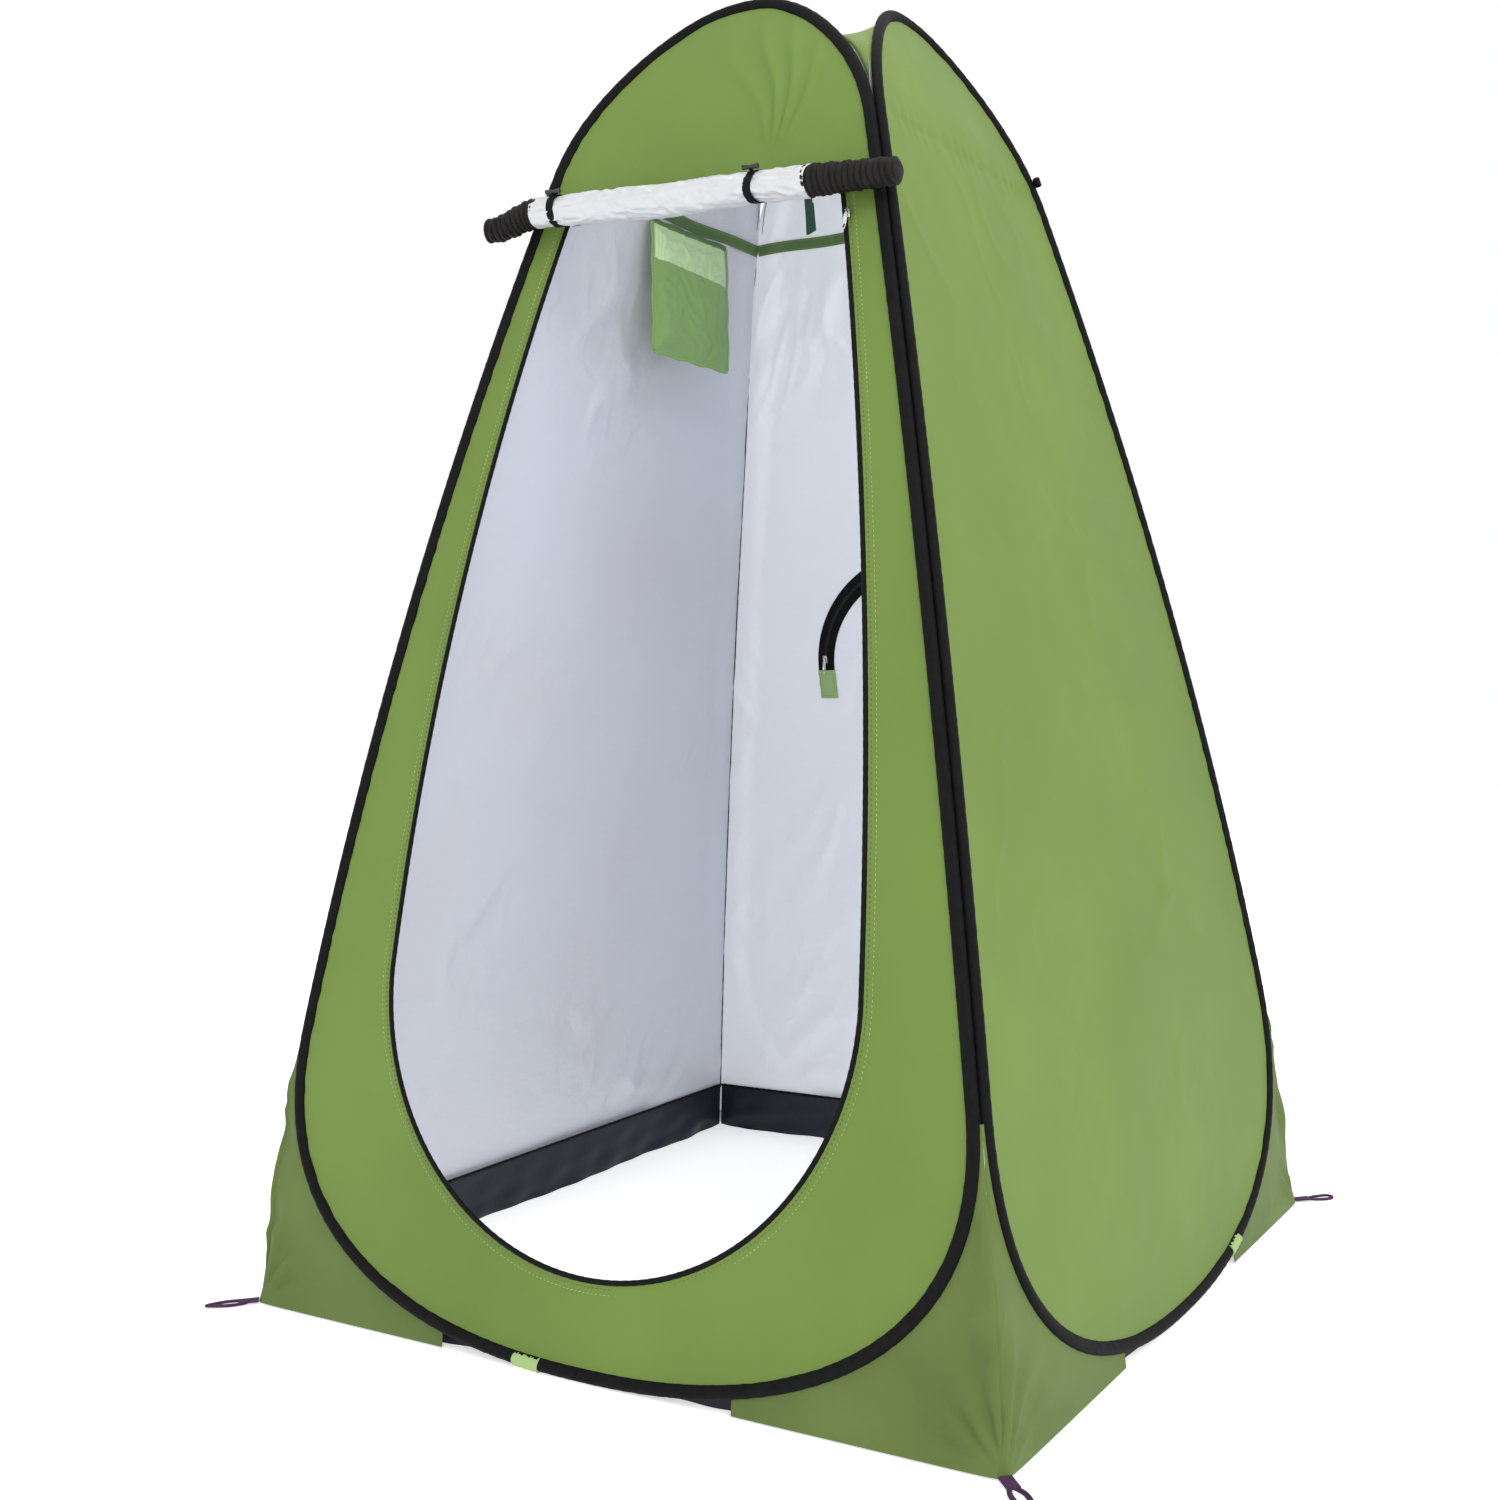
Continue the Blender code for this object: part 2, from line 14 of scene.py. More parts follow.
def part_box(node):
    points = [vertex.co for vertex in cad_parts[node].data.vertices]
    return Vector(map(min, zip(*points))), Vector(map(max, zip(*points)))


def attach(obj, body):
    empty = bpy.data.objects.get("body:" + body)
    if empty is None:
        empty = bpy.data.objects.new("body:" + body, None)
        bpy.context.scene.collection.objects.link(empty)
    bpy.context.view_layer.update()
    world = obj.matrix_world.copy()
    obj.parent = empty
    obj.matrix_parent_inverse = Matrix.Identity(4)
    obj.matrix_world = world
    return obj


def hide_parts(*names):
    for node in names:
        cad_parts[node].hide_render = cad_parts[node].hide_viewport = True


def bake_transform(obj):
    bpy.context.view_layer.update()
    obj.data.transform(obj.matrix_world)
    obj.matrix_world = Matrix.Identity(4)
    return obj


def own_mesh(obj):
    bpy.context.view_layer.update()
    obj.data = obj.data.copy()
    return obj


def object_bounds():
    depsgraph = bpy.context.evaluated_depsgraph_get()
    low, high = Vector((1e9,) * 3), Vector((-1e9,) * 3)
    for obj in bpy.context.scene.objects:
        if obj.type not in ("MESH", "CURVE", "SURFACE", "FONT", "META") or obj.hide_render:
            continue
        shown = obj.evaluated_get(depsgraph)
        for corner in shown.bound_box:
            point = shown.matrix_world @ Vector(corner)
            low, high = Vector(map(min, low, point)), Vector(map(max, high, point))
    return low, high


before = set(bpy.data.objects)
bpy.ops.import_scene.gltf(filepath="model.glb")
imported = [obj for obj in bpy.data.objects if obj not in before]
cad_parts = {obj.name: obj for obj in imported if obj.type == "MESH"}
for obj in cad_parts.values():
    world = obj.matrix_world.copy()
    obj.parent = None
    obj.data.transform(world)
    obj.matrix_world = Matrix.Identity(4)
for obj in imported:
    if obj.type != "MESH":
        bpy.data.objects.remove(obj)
cad_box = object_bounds()

# ---- The tent's shape, from the frame ----
HEIGHT = cad_box[1].z
BASE_HALF = 0.605  # corner to middle at the ground
LEAN, BELLY, TUCK = 0.118, 0.047, 0.60
TOE_Z, NECK_Z, EGG = 0.41, 1.66, 2.3
SLEEVE_R = 0.0074
HOOP_INSET = 0.0106
HOOP_LOW, HOOP_HIGH = 0.0074, HEIGHT - 0.0071  # the ends of its outline
PANEL_EDGE = -0.0030  # a panel ends inside its sleeve
DOOR_Z0, DOOR_Z1, DOOR_WIDEST_Z, DOOR_HALF = 0.125, 1.585, 0.50, 0.386
DOOR_TAPER, DOOR_ROUND = 0.038, 0.092
CROWN_Z = 1.862
TAPE_Z = 1.676
WINDOW_HALF, WINDOW_RISE, WINDOW_Z = 0.240, 0.200, 0.930
ROLL_TILT = math.radians(3.3)  # the rolled door's right end hangs lower
ROLL_R = 0.0222
ROLL_WAY = np.array([math.cos(ROLL_TILT), 0.0, -math.sin(ROLL_TILT)])
TIES = {"left": -0.222, "right": 0.120}  # where the straps cross the roll

WALLS = {"front": 0, "right": 1, "back": 2, "left": 3}
RIGHT_CORNER = {"front": "fr", "right": "rr", "back": "rl", "left": "fl"}
LEFT_CORNER = {"front": "fl", "right": "fr", "back": "rr", "left": "rl"}
CORNER_WALLS = {
    "fl": ("left", "front"), "fr": ("front", "right"), "rr": ("right", "back"), "rl": ("back", "left"),
}
# The corners where the fabric runs on from one wall to the next, each with a distance from the corner. The
# fourth corner is open, and its walls part.
HINGES = {
    "fl": ("front", "left", 0.10, (-1, 1)),
    "fr": ("front", "right", 0.06, (1, 1)),
    "rr": ("right", "back", 0.12, (-1, 1)),
}


def corner_half(z):
    return BASE_HALF - LEAN * z - BELLY * z * z - TUCK * np.maximum(0.0, z - NECK_Z) ** 2


def on_wall(wall, u, z, out=0.0):
    """World points u along a wall, z up it and out from its surface. Any of them may be an array."""
    u, z, out = np.broadcast_arrays(np.asarray(u, float), np.asarray(z, float), np.asarray(out, float))
    slope = (corner_half(z + 1e-4) - corner_half(z - 1e-4)) / 2e-4
    steep = np.sqrt(1 + slope * slope)
    x, y, height = u, -corner_half(z) - out / steep, z - out * slope / steep
    for _ in range(WALLS[wall]):
        x, y = -y, x
    return np.stack([x, y, height], axis=-1)


def wall_frame(wall, z):
    """(along, out, up) unit vectors of a wall at height z."""
    along = on_wall(wall, 1.0, z) - on_wall(wall, 0.0, z)
    up = on_wall(wall, 0.0, z + 0.01) - on_wall(wall, 0.0, z - 0.01)
    up /= np.linalg.norm(up)
    return Vector(along), Vector(np.cross(along, up)), Vector(up)


def egg(s):
    return (1 - np.minimum(1.0, np.abs(s)) ** EGG) ** (1 / EGG)


def hoop_half(z, outset=0.0):
    """Half the width of a hoop's outline, grown by outset, at height z."""
    z = np.asarray(z, float)
    low, high = HOOP_LOW - outset, HOOP_HIGH + outset
    toe = np.clip((TOE_Z - z) / (TOE_Z - low), 0, 1)
    crown = np.clip((z - NECK_Z) / (high - NECK_Z), 0, 1)
    return (corner_half(z) - HOOP_INSET + outset) * egg(toe) * egg(crown)


def hoop_gap(u, z, outset=0.0):
    """How far a point of a wall is inside its hoop."""
    share = np.abs(u) / (corner_half(z) - HOOP_INSET + outset)
    low, high = HOOP_LOW - outset, HOOP_HIGH + outset
    above = z - TOE_Z + (TOE_Z - low) * egg(share)
    below = NECK_Z + (high - NECK_Z) * egg(share) - z
    return np.maximum(0.0, np.minimum(np.minimum(above, below), hoop_half(z, outset) - np.abs(u)))


def hoop_heights(outset, toe, side, crown):
    """Heights up a hoop's side, closer together where its outline turns in. The ends stop just short."""
    low, high = HOOP_LOW - outset, HOOP_HIGH + outset
    down, up = (np.sin(np.linspace(0, math.pi / 2 * 0.985, count + 1)) for count in (toe, crown))
    down = TOE_Z - (TOE_Z - low) * down[::-1]
    up = NECK_Z + (high - NECK_Z) * up
    return np.concatenate([down, np.linspace(TOE_Z, NECK_Z, side + 1)[1:-1], up])


def door_half(z):
    z = np.asarray(z, float)
    dip = np.clip((DOOR_WIDEST_Z - z) / (DOOR_WIDEST_Z - DOOR_Z0), 0, 1)
    rise = np.maximum(0.0, z - DOOR_WIDEST_Z)
    return DOOR_HALF * np.sqrt(1 - dip**2) - DOOR_TAPER * rise - DOOR_ROUND * rise**2


# ---- Materials ----


class Shader:
    """A Principled material built up from nodes, patterned in the object's own coordinates."""

    def __init__(self, name, roughness, metallic=0.0, sheen=0.0, specular=0.5):
        self.material = bpy.data.materials.new(name)
        self.material.use_nodes = True
        self.tree = self.material.node_tree
        self.surface = self.tree.nodes["Principled BSDF"]
        self.surface.inputs["Roughness"].default_value = roughness
        self.surface.inputs["Metallic"].default_value = metallic
        self.surface.inputs["Sheen Weight"].default_value = sheen
        self.surface.inputs["Specular IOR Level"].default_value = specular
        self.place = self.node("ShaderNodeTexCoord").outputs["Object"]

    def node(self, kind, **settings):
        made = self.tree.nodes.new(kind)
        for key, value in settings.items():
            if hasattr(made, key):
                setattr(made, key, value)
            else:
                made.inputs[key].default_value = value
        return made

    def link(self, start, end):
        self.tree.links.new(start, end)

    def noise(self, scale, detail=3.0, stretch=(1, 1, 1), roughness=0.5):
        mapping = self.node("ShaderNodeMapping", Scale=stretch)
        self.link(self.place, mapping.inputs["Vector"])
        made = self.node("ShaderNodeTexNoise", Scale=scale, Detail=detail, Roughness=roughness)
        self.link(mapping.outputs["Vector"], made.inputs["Vector"])
        return made.outputs["Fac"]

    def wave(self, scale, direction, distortion=0.0):
        made = self.node("ShaderNodeTexWave", Scale=scale, Distortion=distortion, bands_direction=direction)
        self.link(self.place, made.inputs["Vector"])
        return made.outputs["Fac"]

    def ramp(self, value, colours, stops=(0.3, 0.7)):
        made = self.node("ShaderNodeValToRGB")
        for element, stop, colour in zip(made.color_ramp.elements, stops, colours):
            element.position = stop
            element.color = (*colour, 1)
        self.link(value, made.inputs["Fac"])
        return made.outputs["Color"]

    def colour(self, value, colours, stops=(0.3, 0.7)):
        self.link(self.ramp(value, colours, stops), self.surface.inputs["Base Color"])

    def vary_roughness(self, value, low, high):
        made = self.node("ShaderNodeMapRange")
        made.inputs["To Min"].default_value = low
        made.inputs["To Max"].default_value = high
        self.link(value, made.inputs["Value"])
        self.link(made.outputs["Result"], self.surface.inputs["Roughness"])

    def bump(self, layers):
        """Bumps stacked on each other, each (height, strength, distance)."""
        below = None
        for height, strength, distance in layers:
            made = self.node("ShaderNodeBump", Strength=strength, Distance=distance)
            self.link(height, made.inputs["Height"])
            if below:
                self.link(below, made.inputs["Normal"])
            below = made.outputs["Normal"]
        self.link(below, self.surface.inputs["Normal"])
        return self.material


def tint(colour, factor):
    return tuple(min(1.0, c * factor) for c in colour)


def taffeta(name, colour, shade=0.90, roughness=0.60, crinkle=0.35, specular=0.22):
    """Thin coated cloth: a plain weave, a fine crinkle and slow changes of tone."""
    made = Shader(name, roughness, specular=specular)
    tone = made.noise(3.2, detail=4)
    made.colour(tone, (tint(colour, shade), tint(colour, 1.04)))
    made.vary_roughness(made.noise(14, detail=3), roughness - 0.07, roughness + 0.07)
    threads = [(made.wave(900, axis, 0.4), 0.05, 0.00015) for axis in ("X", "Y", "Z")]
    return made.bump([(made.noise(26, detail=6, roughness=0.62), crinkle, 0.0016), *threads])


def silver_cloth(name, colour, roughness=0.42, metallic=0.25, crinkle=0.5, painted_glow=0.0):
    """Silver-coated cloth with a blue cast. The last argument is how strongly it glows white: painted light.
    """
    made = Shader(name, roughness, metallic=metallic, specular=0.5)
    # Painted light: an even white glow on the cloth.
    made.surface.inputs["Emission Color"].default_value = (0.97, 0.985, 1.0, 1)
    made.surface.inputs["Emission Strength"].default_value = painted_glow
    bluer = tuple(np.array(colour) * (0.97, 1.02, 1.03))
    made.colour(made.noise(2.4, detail=3), (tint(colour, 0.95), bluer))
    made.vary_roughness(made.noise(18, detail=4), roughness - 0.08, roughness + 0.10)
    threads = [(made.wave(1000, axis, 0.4), 0.04, 0.00012) for axis in ("X", "Z")]
    crumple = made.noise(5.5, detail=5, stretch=(1, 1, 1.5), roughness=0.55)
    fine = made.noise(20, detail=7, roughness=0.6)
    return made.bump([(crumple, crinkle, 0.010), (fine, crinkle, 0.0024), *threads])


def webbing(name, colour, ribs=420, roughness=0.72):
    """Narrow woven tape with a raised rib."""
    made = Shader(name, roughness, specular=0.12)
    made.colour(made.noise(70, detail=4), (tint(colour, 0.75), tint(colour, 1.35)))
    ribbing = [(made.wave(ribs, axis, 0.8), 0.35, 0.0004) for axis in ("X", "Y", "Z")]
    return made.bump([(made.noise(120, detail=3), 0.3, 0.0006), *ribbing])


def metal(name, colour, roughness=0.30):
    made = Shader(name, roughness, metallic=1.0)
    made.colour(made.noise(160, detail=3), (tint(colour, 0.82), tint(colour, 1.08)))
    made.vary_roughness(made.noise(300, detail=3), roughness - 0.08, roughness + 0.12)
    return made.bump([(made.noise(500, detail=2, stretch=(1, 1, 6)), 0.12, 0.0003)])


def plastic(name, colour, roughness=0.45):
    made = Shader(name, roughness, specular=0.5)
    made.colour(made.noise(200, detail=2), (tint(colour, 0.85), tint(colour, 1.25)))
    return made.bump([(made.noise(900, detail=2), 0.15, 0.0003)])


GREEN = taffeta("green_polyester", (0.129, 0.204, 0.040))
# A lighter copy of the shell green: painted light on the roof, which faces up to the lamps.
LIT_ROOF_GREEN = taffeta("lit_roof_green_polyester", (0.158, 0.238, 0.052))
# A darker copy of the shell green: painted shade for the gussets, down in the corners.
SHADED_GUSSET_GREEN = taffeta("shaded_gusset_green_polyester", (0.112, 0.166, 0.040), shade=0.70, crinkle=0.8)
SILVER = silver_cloth("silver_lining", (0.625, 0.635, 0.685), roughness=0.44, metallic=0.1)
# Each wall's lining glows with painted light, most on the back wall to make it look brighter.
LININGS_WITH_PAINTED_GLOW = {
    wall: silver_cloth(f"silver_lining_{wall}", (0.575, 0.582, 0.640), 0.42, 0.12, 0.8, painted_glow)
    for wall, painted_glow in (("right", 0.03), ("back", 0.24), ("left", 0.05))
}
ROLL_SILVER = silver_cloth("rolled_silver_cloth", (0.56, 0.555, 0.57), 0.38, 0.25, crinkle=0.9)
BLACK = webbing("black_binding", (0.0040, 0.0040, 0.0046), ribs=260)
GATHERED_BLACK = webbing("gathered_black_tape", (0.013, 0.011, 0.011), ribs=330, roughness=0.6)
SKIRT_BLACK = taffeta("black_skirt_cloth", (0.015, 0.017, 0.027), shade=0.7, roughness=0.5, crinkle=0.9)
LIGHT_GREEN = taffeta("light_green_cloth", (0.330, 0.470, 0.190), crinkle=0.8)
POCKET_GREEN = taffeta(
    "pocket_green_cloth", (0.215, 0.370, 0.115), shade=0.84, roughness=0.45, crinkle=0.9, specular=0.4
)
SEAM_GREEN = taffeta("seam_green_cloth", (0.105, 0.185, 0.065), shade=0.7, crinkle=0.8)
DARK_GREEN = webbing("dark_green_webbing", (0.012, 0.034, 0.020), ribs=300)
PURPLE = webbing("purple_webbing", (0.055, 0.024, 0.062), ribs=380)
THREAD_GREEN = plastic("green_thread", (0.34, 0.47, 0.17), 0.7)
THREAD_DARK = plastic("dark_thread", (0.05, 0.09, 0.03), 0.7)
STEEL = metal("spring_steel", (0.56, 0.56, 0.57))
NICKEL = metal("zip_nickel", (0.70, 0.70, 0.71), 0.24)
TOGGLE = plastic("black_toggle_plastic", (0.012, 0.012, 0.014))
TEETH = plastic("zip_teeth", (0.010, 0.010, 0.011), 0.35)
SHELL = [GREEN, SILVER]  # a panel's outside and inside


def pocket_mesh_material():
    """Light knitted mesh: a fine grid of darker holes."""
    made = Shader("light_green_mesh", 0.6, sheen=0.2)
    cells = made.node("ShaderNodeTexVoronoi", Scale=430.0, Randomness=0.15)
    made.link(made.place, cells.inputs["Vector"])
    made.colour(cells.outputs["Distance"], ((0.58, 0.76, 0.42), (0.42, 0.60, 0.29)), (0.25, 0.62))
    return made.bump([(cells.outputs["Distance"], 0.5, 0.0006)])


MESH_GREEN = pocket_mesh_material()

# ---- Mesh helpers ----


def new_piece(name, mesh, materials):
    piece = bpy.data.objects.new(name, mesh)
    bpy.context.scene.collection.objects.link(piece)
    for material in materials:
        mesh.materials.append(material)
    mesh.shade_smooth()
    return piece


def hang(piece, wall, side):
    """A wall's half, side 1 right of its middle and -1 left, is joined at the corner on that side."""
    corner = (RIGHT_CORNER if side > 0 else LEFT_CORNER)[wall]
    return join_corner(piece, corner, wall)


def join_corner(piece, corner, wall):
    """At a corner the fabric runs round, a piece's place is baked into its mesh. At the open corner it stays
    on its wall.
    """
    if corner not in HINGES:
        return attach(piece, wall)
    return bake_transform(piece)


def stand_for(piece, node, body):
    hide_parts(node)
    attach(piece, body)


def baked(made, name):
    """A mesh from a bmesh, which is freed."""
    mesh = bpy.data.meshes.new(name)
    made.to_mesh(mesh)
    made.free()
    return mesh


def level(heights, columns):
    """Heights repeated across the columns of a grid."""
    return np.repeat(heights[:, None], columns, axis=1)


def bunched(count, pull):
    """Shares from -1 to 1, closer together at the ends by pull."""
    share = np.linspace(-1, 1, count)
    return np.sin(share * math.pi / 2) * pull + share * (1 - pull)


def field(function, *grids):
    """The function of one number, or one place, from each grid, all over the grids."""
    rows = zip(*(grid.reshape(-1, *grid.shape[2:]).tolist() for grid in grids))
    return np.array([function(*row) for row in rows]).reshape(grids[0].shape[:2])


def everywhere(vector, path):
    """The same vector at each point of a path."""
    return np.broadcast_to(np.asarray(vector, float), path.shape)


def lengths(line):
    """How far along a line each of its points is."""
    return np.concatenate([[0], np.cumsum(np.linalg.norm(np.diff(line, axis=0), axis=1))])


def points_at(line, places, run=None):
    """A line's values at lengths along it. run says how far along each of its points is."""
    run = lengths(line) if run is None else run
    return np.stack([np.interp(places, run, values) for values in line.T], axis=-1)


def normals_of(points):
    """Unit normals of a grid of points, along columns crossed with up rows."""
    across = np.gradient(points, axis=1)
    up = np.gradient(points, axis=0)
    made = np.cross(across, up)
    return made / np.maximum(np.linalg.norm(made, axis=2, keepdims=True), 1e-12)


def cloth_mesh(name, points, normals, thick):
    """A closed sheet: an outer face, an inner face with the second material, and the edge between them."""
    rows, columns = points.shape[:2]
    outer = (points + normals * thick / 2).reshape(-1, 3)
    inner = (points - normals * thick / 2).reshape(-1, 3)
    index = np.arange(rows * columns).reshape(rows, columns)
    a, b, c, d = (index[:-1, :-1], index[:-1, 1:], index[1:, 1:], index[1:, :-1])
    front = np.stack([a, b, c, d], axis=-1).reshape(-1, 4)
    back = front[:, [0, 3, 2, 1]] + rows * columns  # it splits along the same diagonals
    ring = np.concatenate([index[0, :-1], index[:-1, -1], index[-1, :0:-1], index[:0:-1, 0]])
    after = np.roll(ring, -1)
    rim = np.stack([after, ring, ring + rows * columns, after + rows * columns], axis=-1)
    mesh = bpy.data.meshes.new(name)
    faces = np.concatenate([front, back, rim])
    mesh.from_pydata(np.concatenate([outer, inner]).tolist(), [], faces.tolist())
    surfaces = np.concatenate([np.zeros(len(front)), np.ones(len(back)), np.zeros(len(rim))]).astype(np.int32)
    mesh.polygons.foreach_set("material_index", surfaces)
    mesh.update()
    return mesh


def extent(points):
    """The sides of the smallest upright rectangle round a nearly flat grid of points."""
    spread = points.reshape(-1, 3) - points.reshape(-1, 3).mean(axis=0)
    axes = np.linalg.svd(spread, full_matrices=False)[2]
    return np.ptp(spread @ axes[1]), np.ptp(spread @ axes[0])


def cloth(name, points, materials, slot, held, thick=0.0008, normals=None, rests_on=(), cut=None):
    """A piece of cloth over a grid of points. It works out the size the cloth was cut to: cut if it is given,
    and the extent of the points if not."""
    normals = normals_of(points) if normals is None else normals
    mesh = cloth_mesh(name, points, normals, thick)
    piece = new_piece(name, mesh, materials)
    smooth = np.concatenate([normals.reshape(-1, 3), -normals.reshape(-1, 3)])
    mesh.normals_split_custom_set_from_vertices(smooth.tolist())
    width, length = cut or extent(points)
    across, up = np.diff(points, axis=1)[:-1], np.diff(points, axis=0)[:, :-1]
    area = float(np.linalg.norm(np.cross(across, up), axis=2).sum())
    flat = (round(float(width), 3), round(float(length), 3))
    area = min(area, 0.999 * flat[0] * flat[1])
    return piece


def tube_mesh(name, path, across, up, radii, closed=False, angles=None):
    """A tube: path (n, 3); across and up (n, 3) its section's axes; radii (n, sides) at the angles."""
    if angles is None:
        angles = np.linspace(0, 2 * math.pi, radii.shape[1], endpoint=False)
    ring = across[:, None] * np.cos(angles)[:, None] + up[:, None] * np.sin(angles)[:, None]
    return skin(name, path[:, None] + ring * radii[..., None], closed)


def skin(name, points, closed):
    """A mesh joining rings of points (n, sides, 3). Its ends are capped, unless it closes on itself."""
    count, sides = points.shape[:2]
    index = np.arange(count * sides).reshape(count, sides)
    here, there = (index, np.roll(index, -1, axis=0)) if closed else (index[:-1], index[1:])
    around = [here, np.roll(here, -1, axis=1), np.roll(there, -1, axis=1), there]
    faces = np.stack(around, axis=-1).reshape(-1, 4).tolist()
    if not closed:
        faces += [index[0, ::-1].tolist(), index[-1].tolist()]
    mesh = bpy.data.meshes.new(name)
    mesh.from_pydata(points.reshape(-1, 3).tolist(), [], faces)
    made = bmesh.new()
    made.from_mesh(mesh)
    bmesh.ops.recalc_face_normals(made, faces=made.faces)
    made.to_mesh(mesh)
    made.free()
    return mesh


def ribbon(name, path, side, out, width, thick, material, slot, round_edge=0.35):
    """Flat webbing along a path: side (n, 3) across it and out (n, 3) off its face."""
    angles = np.linspace(0, 2 * math.pi, 16, endpoint=False)
    x = np.sign(np.cos(angles)) * np.abs(np.cos(angles)) ** round_edge * width / 2
    y = np.sign(np.sin(angles)) * np.abs(np.sin(angles)) ** round_edge * thick / 2
    mesh = tube_mesh(name, path, side, out, np.hypot(x, y)[None, :], angles=np.arctan2(y, x))
    return new_piece(name, mesh, [material])


def unit(vectors):
    return vectors / np.maximum(np.linalg.norm(vectors, axis=-1, keepdims=True), 1e-12)


def stitches(name, path, lift, material, long=0.0032, gap=0.0022, thick=0.00045):
    """A row of stitches along a path (n, 3), each a small capsule standing lift (n, 3) off it."""
    run = lengths(path)
    starts = np.arange(gap, run[-1] - long, long + gap)
    shape = Matrix.Diagonal((long / 2, thick, thick, 1))
    made = bmesh.new()
    ends = points_at(path, starts), points_at(path, starts + long)
    for start, end, out in zip(*ends, points_at(lift, starts, run)):
        turn = Vector(end - start).to_track_quat("X", "Z").to_matrix().to_4x4()
        place = Matrix.Translation(Vector((start + end) / 2 + out)) @ turn
        bmesh.ops.create_icosphere(made, subdivisions=1, radius=1, matrix=place @ shape)
    return new_piece(name, baked(made, name), [material])


def ripples(u, z, seed):
    """Displacement of slack cloth: slow swells, soft folds and a few sharp creases, in metres."""

    def slack(x, y):
        swell = noise.noise(Vector((x * 2.3, y * 1.5, seed)))
        soft = noise.noise(Vector((x * 5.5 + swell, y * 3.4 - swell, seed + 7.3)))
        ridge = 1 - abs(noise.noise(Vector((x * 4.2 + soft, y * 6.5 + swell, seed + 13.1))))
        mask = max(0.0, noise.noise(Vector((x * 2.6, y * 2.1, seed + 21.7))))
        small = noise.noise(Vector((x * 17, y * 13, seed + 31.9)))
        crease = max(0.0, ridge - 0.80) / 0.20
        return 0.0030 * swell + 0.0014 * soft + 0.0034 * mask * crease**2 + 0.00028 * small

    return field(slack, u, z)


def smooth_step(t):
    t = np.clip(t, 0, 1)
    return t * t * (3 - 2 * t)


def halves(columns):
    """(side, word, slice) of the two halves of a grid, which share its middle column."""
    middle = columns // 2
    return (-1, "left", slice(0, middle + 1)), (1, "right", slice(middle, None))


def wall_cloth(wall, name, points, materials, slot, held, rests_on, node=None, trim=None, thick=0.0008):
    """A wall's cloth in two halves, each joined at its own corner. SIDE in the name becomes
    left or right, and trim(side, word, columns, normals) adds what is sewn to a half."""
    normals = normals_of(points)
    for side, word, columns in halves(points.shape[1]):
        half = cloth(
            name.replace("SIDE", word), points[:, columns], materials, slot, held, thick=thick,
            normals=normals[:, columns], rests_on=[rests_on],
        )
        if node:
            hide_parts(node)
        hang(half, wall, side)
        if trim:
            trim(side, word, columns, normals)


# ---- Walls ----

WALL_SEED = {"front": 3.1, "right": 11.7, "back": 23.9, "left": 41.3}


def seam_pucker(u, z):
    """The seam across a wall at the height of its tape: a shallow groove with short gathers."""
    away = z - TAPE_Z
    groove = -0.0012 * np.exp(-((away / 0.007) ** 2))
    gathers = 0.0009 * np.sin(u * 190 + 2.4 * np.sin(u * 37)) * np.exp(-((away / 0.020) ** 2))
    return groove + gathers


def quiet(wall, u, z):
    """1 where a wall is free to ripple, and 0 where a tape is sewn to it."""
    made = 1 - np.exp(-(((z - TAPE_Z) / 0.030) ** 2))
    if wall == "back":
        ring = np.hypot(u / WINDOW_HALF, np.maximum(z - WINDOW_Z, 0) / WINDOW_RISE)
        made = made * (1 - np.exp(-(((ring - 1) / 0.17) ** 2)) * smooth_step((z - WINDOW_Z + 0.08) / 0.05))
    return made


def edge_gathers(z, inside, seed):
    """Small gathers where the panel is sewn into its sleeve."""
    run = np.sin(z * 210 + 3 * np.sin(z * 31 + seed)) + 0.6 * np.sin(z * 127 + seed)
    return 0.00055 * run * np.exp(-inside / 0.022) * smooth_step(inside / 0.008)


def plain_wall(wall):
    heights = hoop_heights(PANEL_EDGE, 30, 110, 40)
    heights = np.unique(np.concatenate([heights, TAPE_Z + np.linspace(-0.030, 0.030, 25)]))
    share = bunched(121, 0.35)
    z = level(heights, len(share))
    u = hoop_half(z, PANEL_EDGE) * share
    inside = hoop_gap(u, z, PANEL_EDGE)
    seed = WALL_SEED[wall]
    slack = (ripples(u, z, seed) * quiet(wall, u, z) + seam_pucker(u, z)) * smooth_step(inside / 0.05)
    points = on_wall(wall, u, z, slack + edge_gathers(z, inside, seed))
    wall_cloth(
        wall, wall + "_panel_SIDE_half", points, SHELL, "shell_green", "stretched", wall + "_sleeve",
        node=wall + "_panel",
    )


LINING_NEAR, LINING_IN = 0.0024, 0.0092  # behind a wall's surface: in its middle, and over the sleeves
LINING_LOW, LINING_HIGH = 0.030, 1.800


def creases(u, z, seed):
    """Sharp creases left in the lining by its packing, always inwards, in metres."""

    def crease(x, y):
        bend = noise.noise(Vector((x * 3.1, y * 2.2, seed)))
        lean = x * 0.8 + y * 0.6
        ridge = 1 - abs(noise.noise(Vector((x * 7 + 1.5 * bend, y * 4.0 + lean * 5, seed + 5))))
        fine = 1 - abs(noise.noise(Vector((x * 15 + 2 * bend, lean * 19, seed + 11))))
        mask = max(0.0, 0.20 + noise.noise(Vector((x * 3.7, y * 2.9, seed + 17))))
        return mask * (0.0130 * max(0.0, ridge - 0.72) / 0.28 + 0.0065 * max(0.0, fine - 0.75) / 0.25)

    return field(crease, u, z)


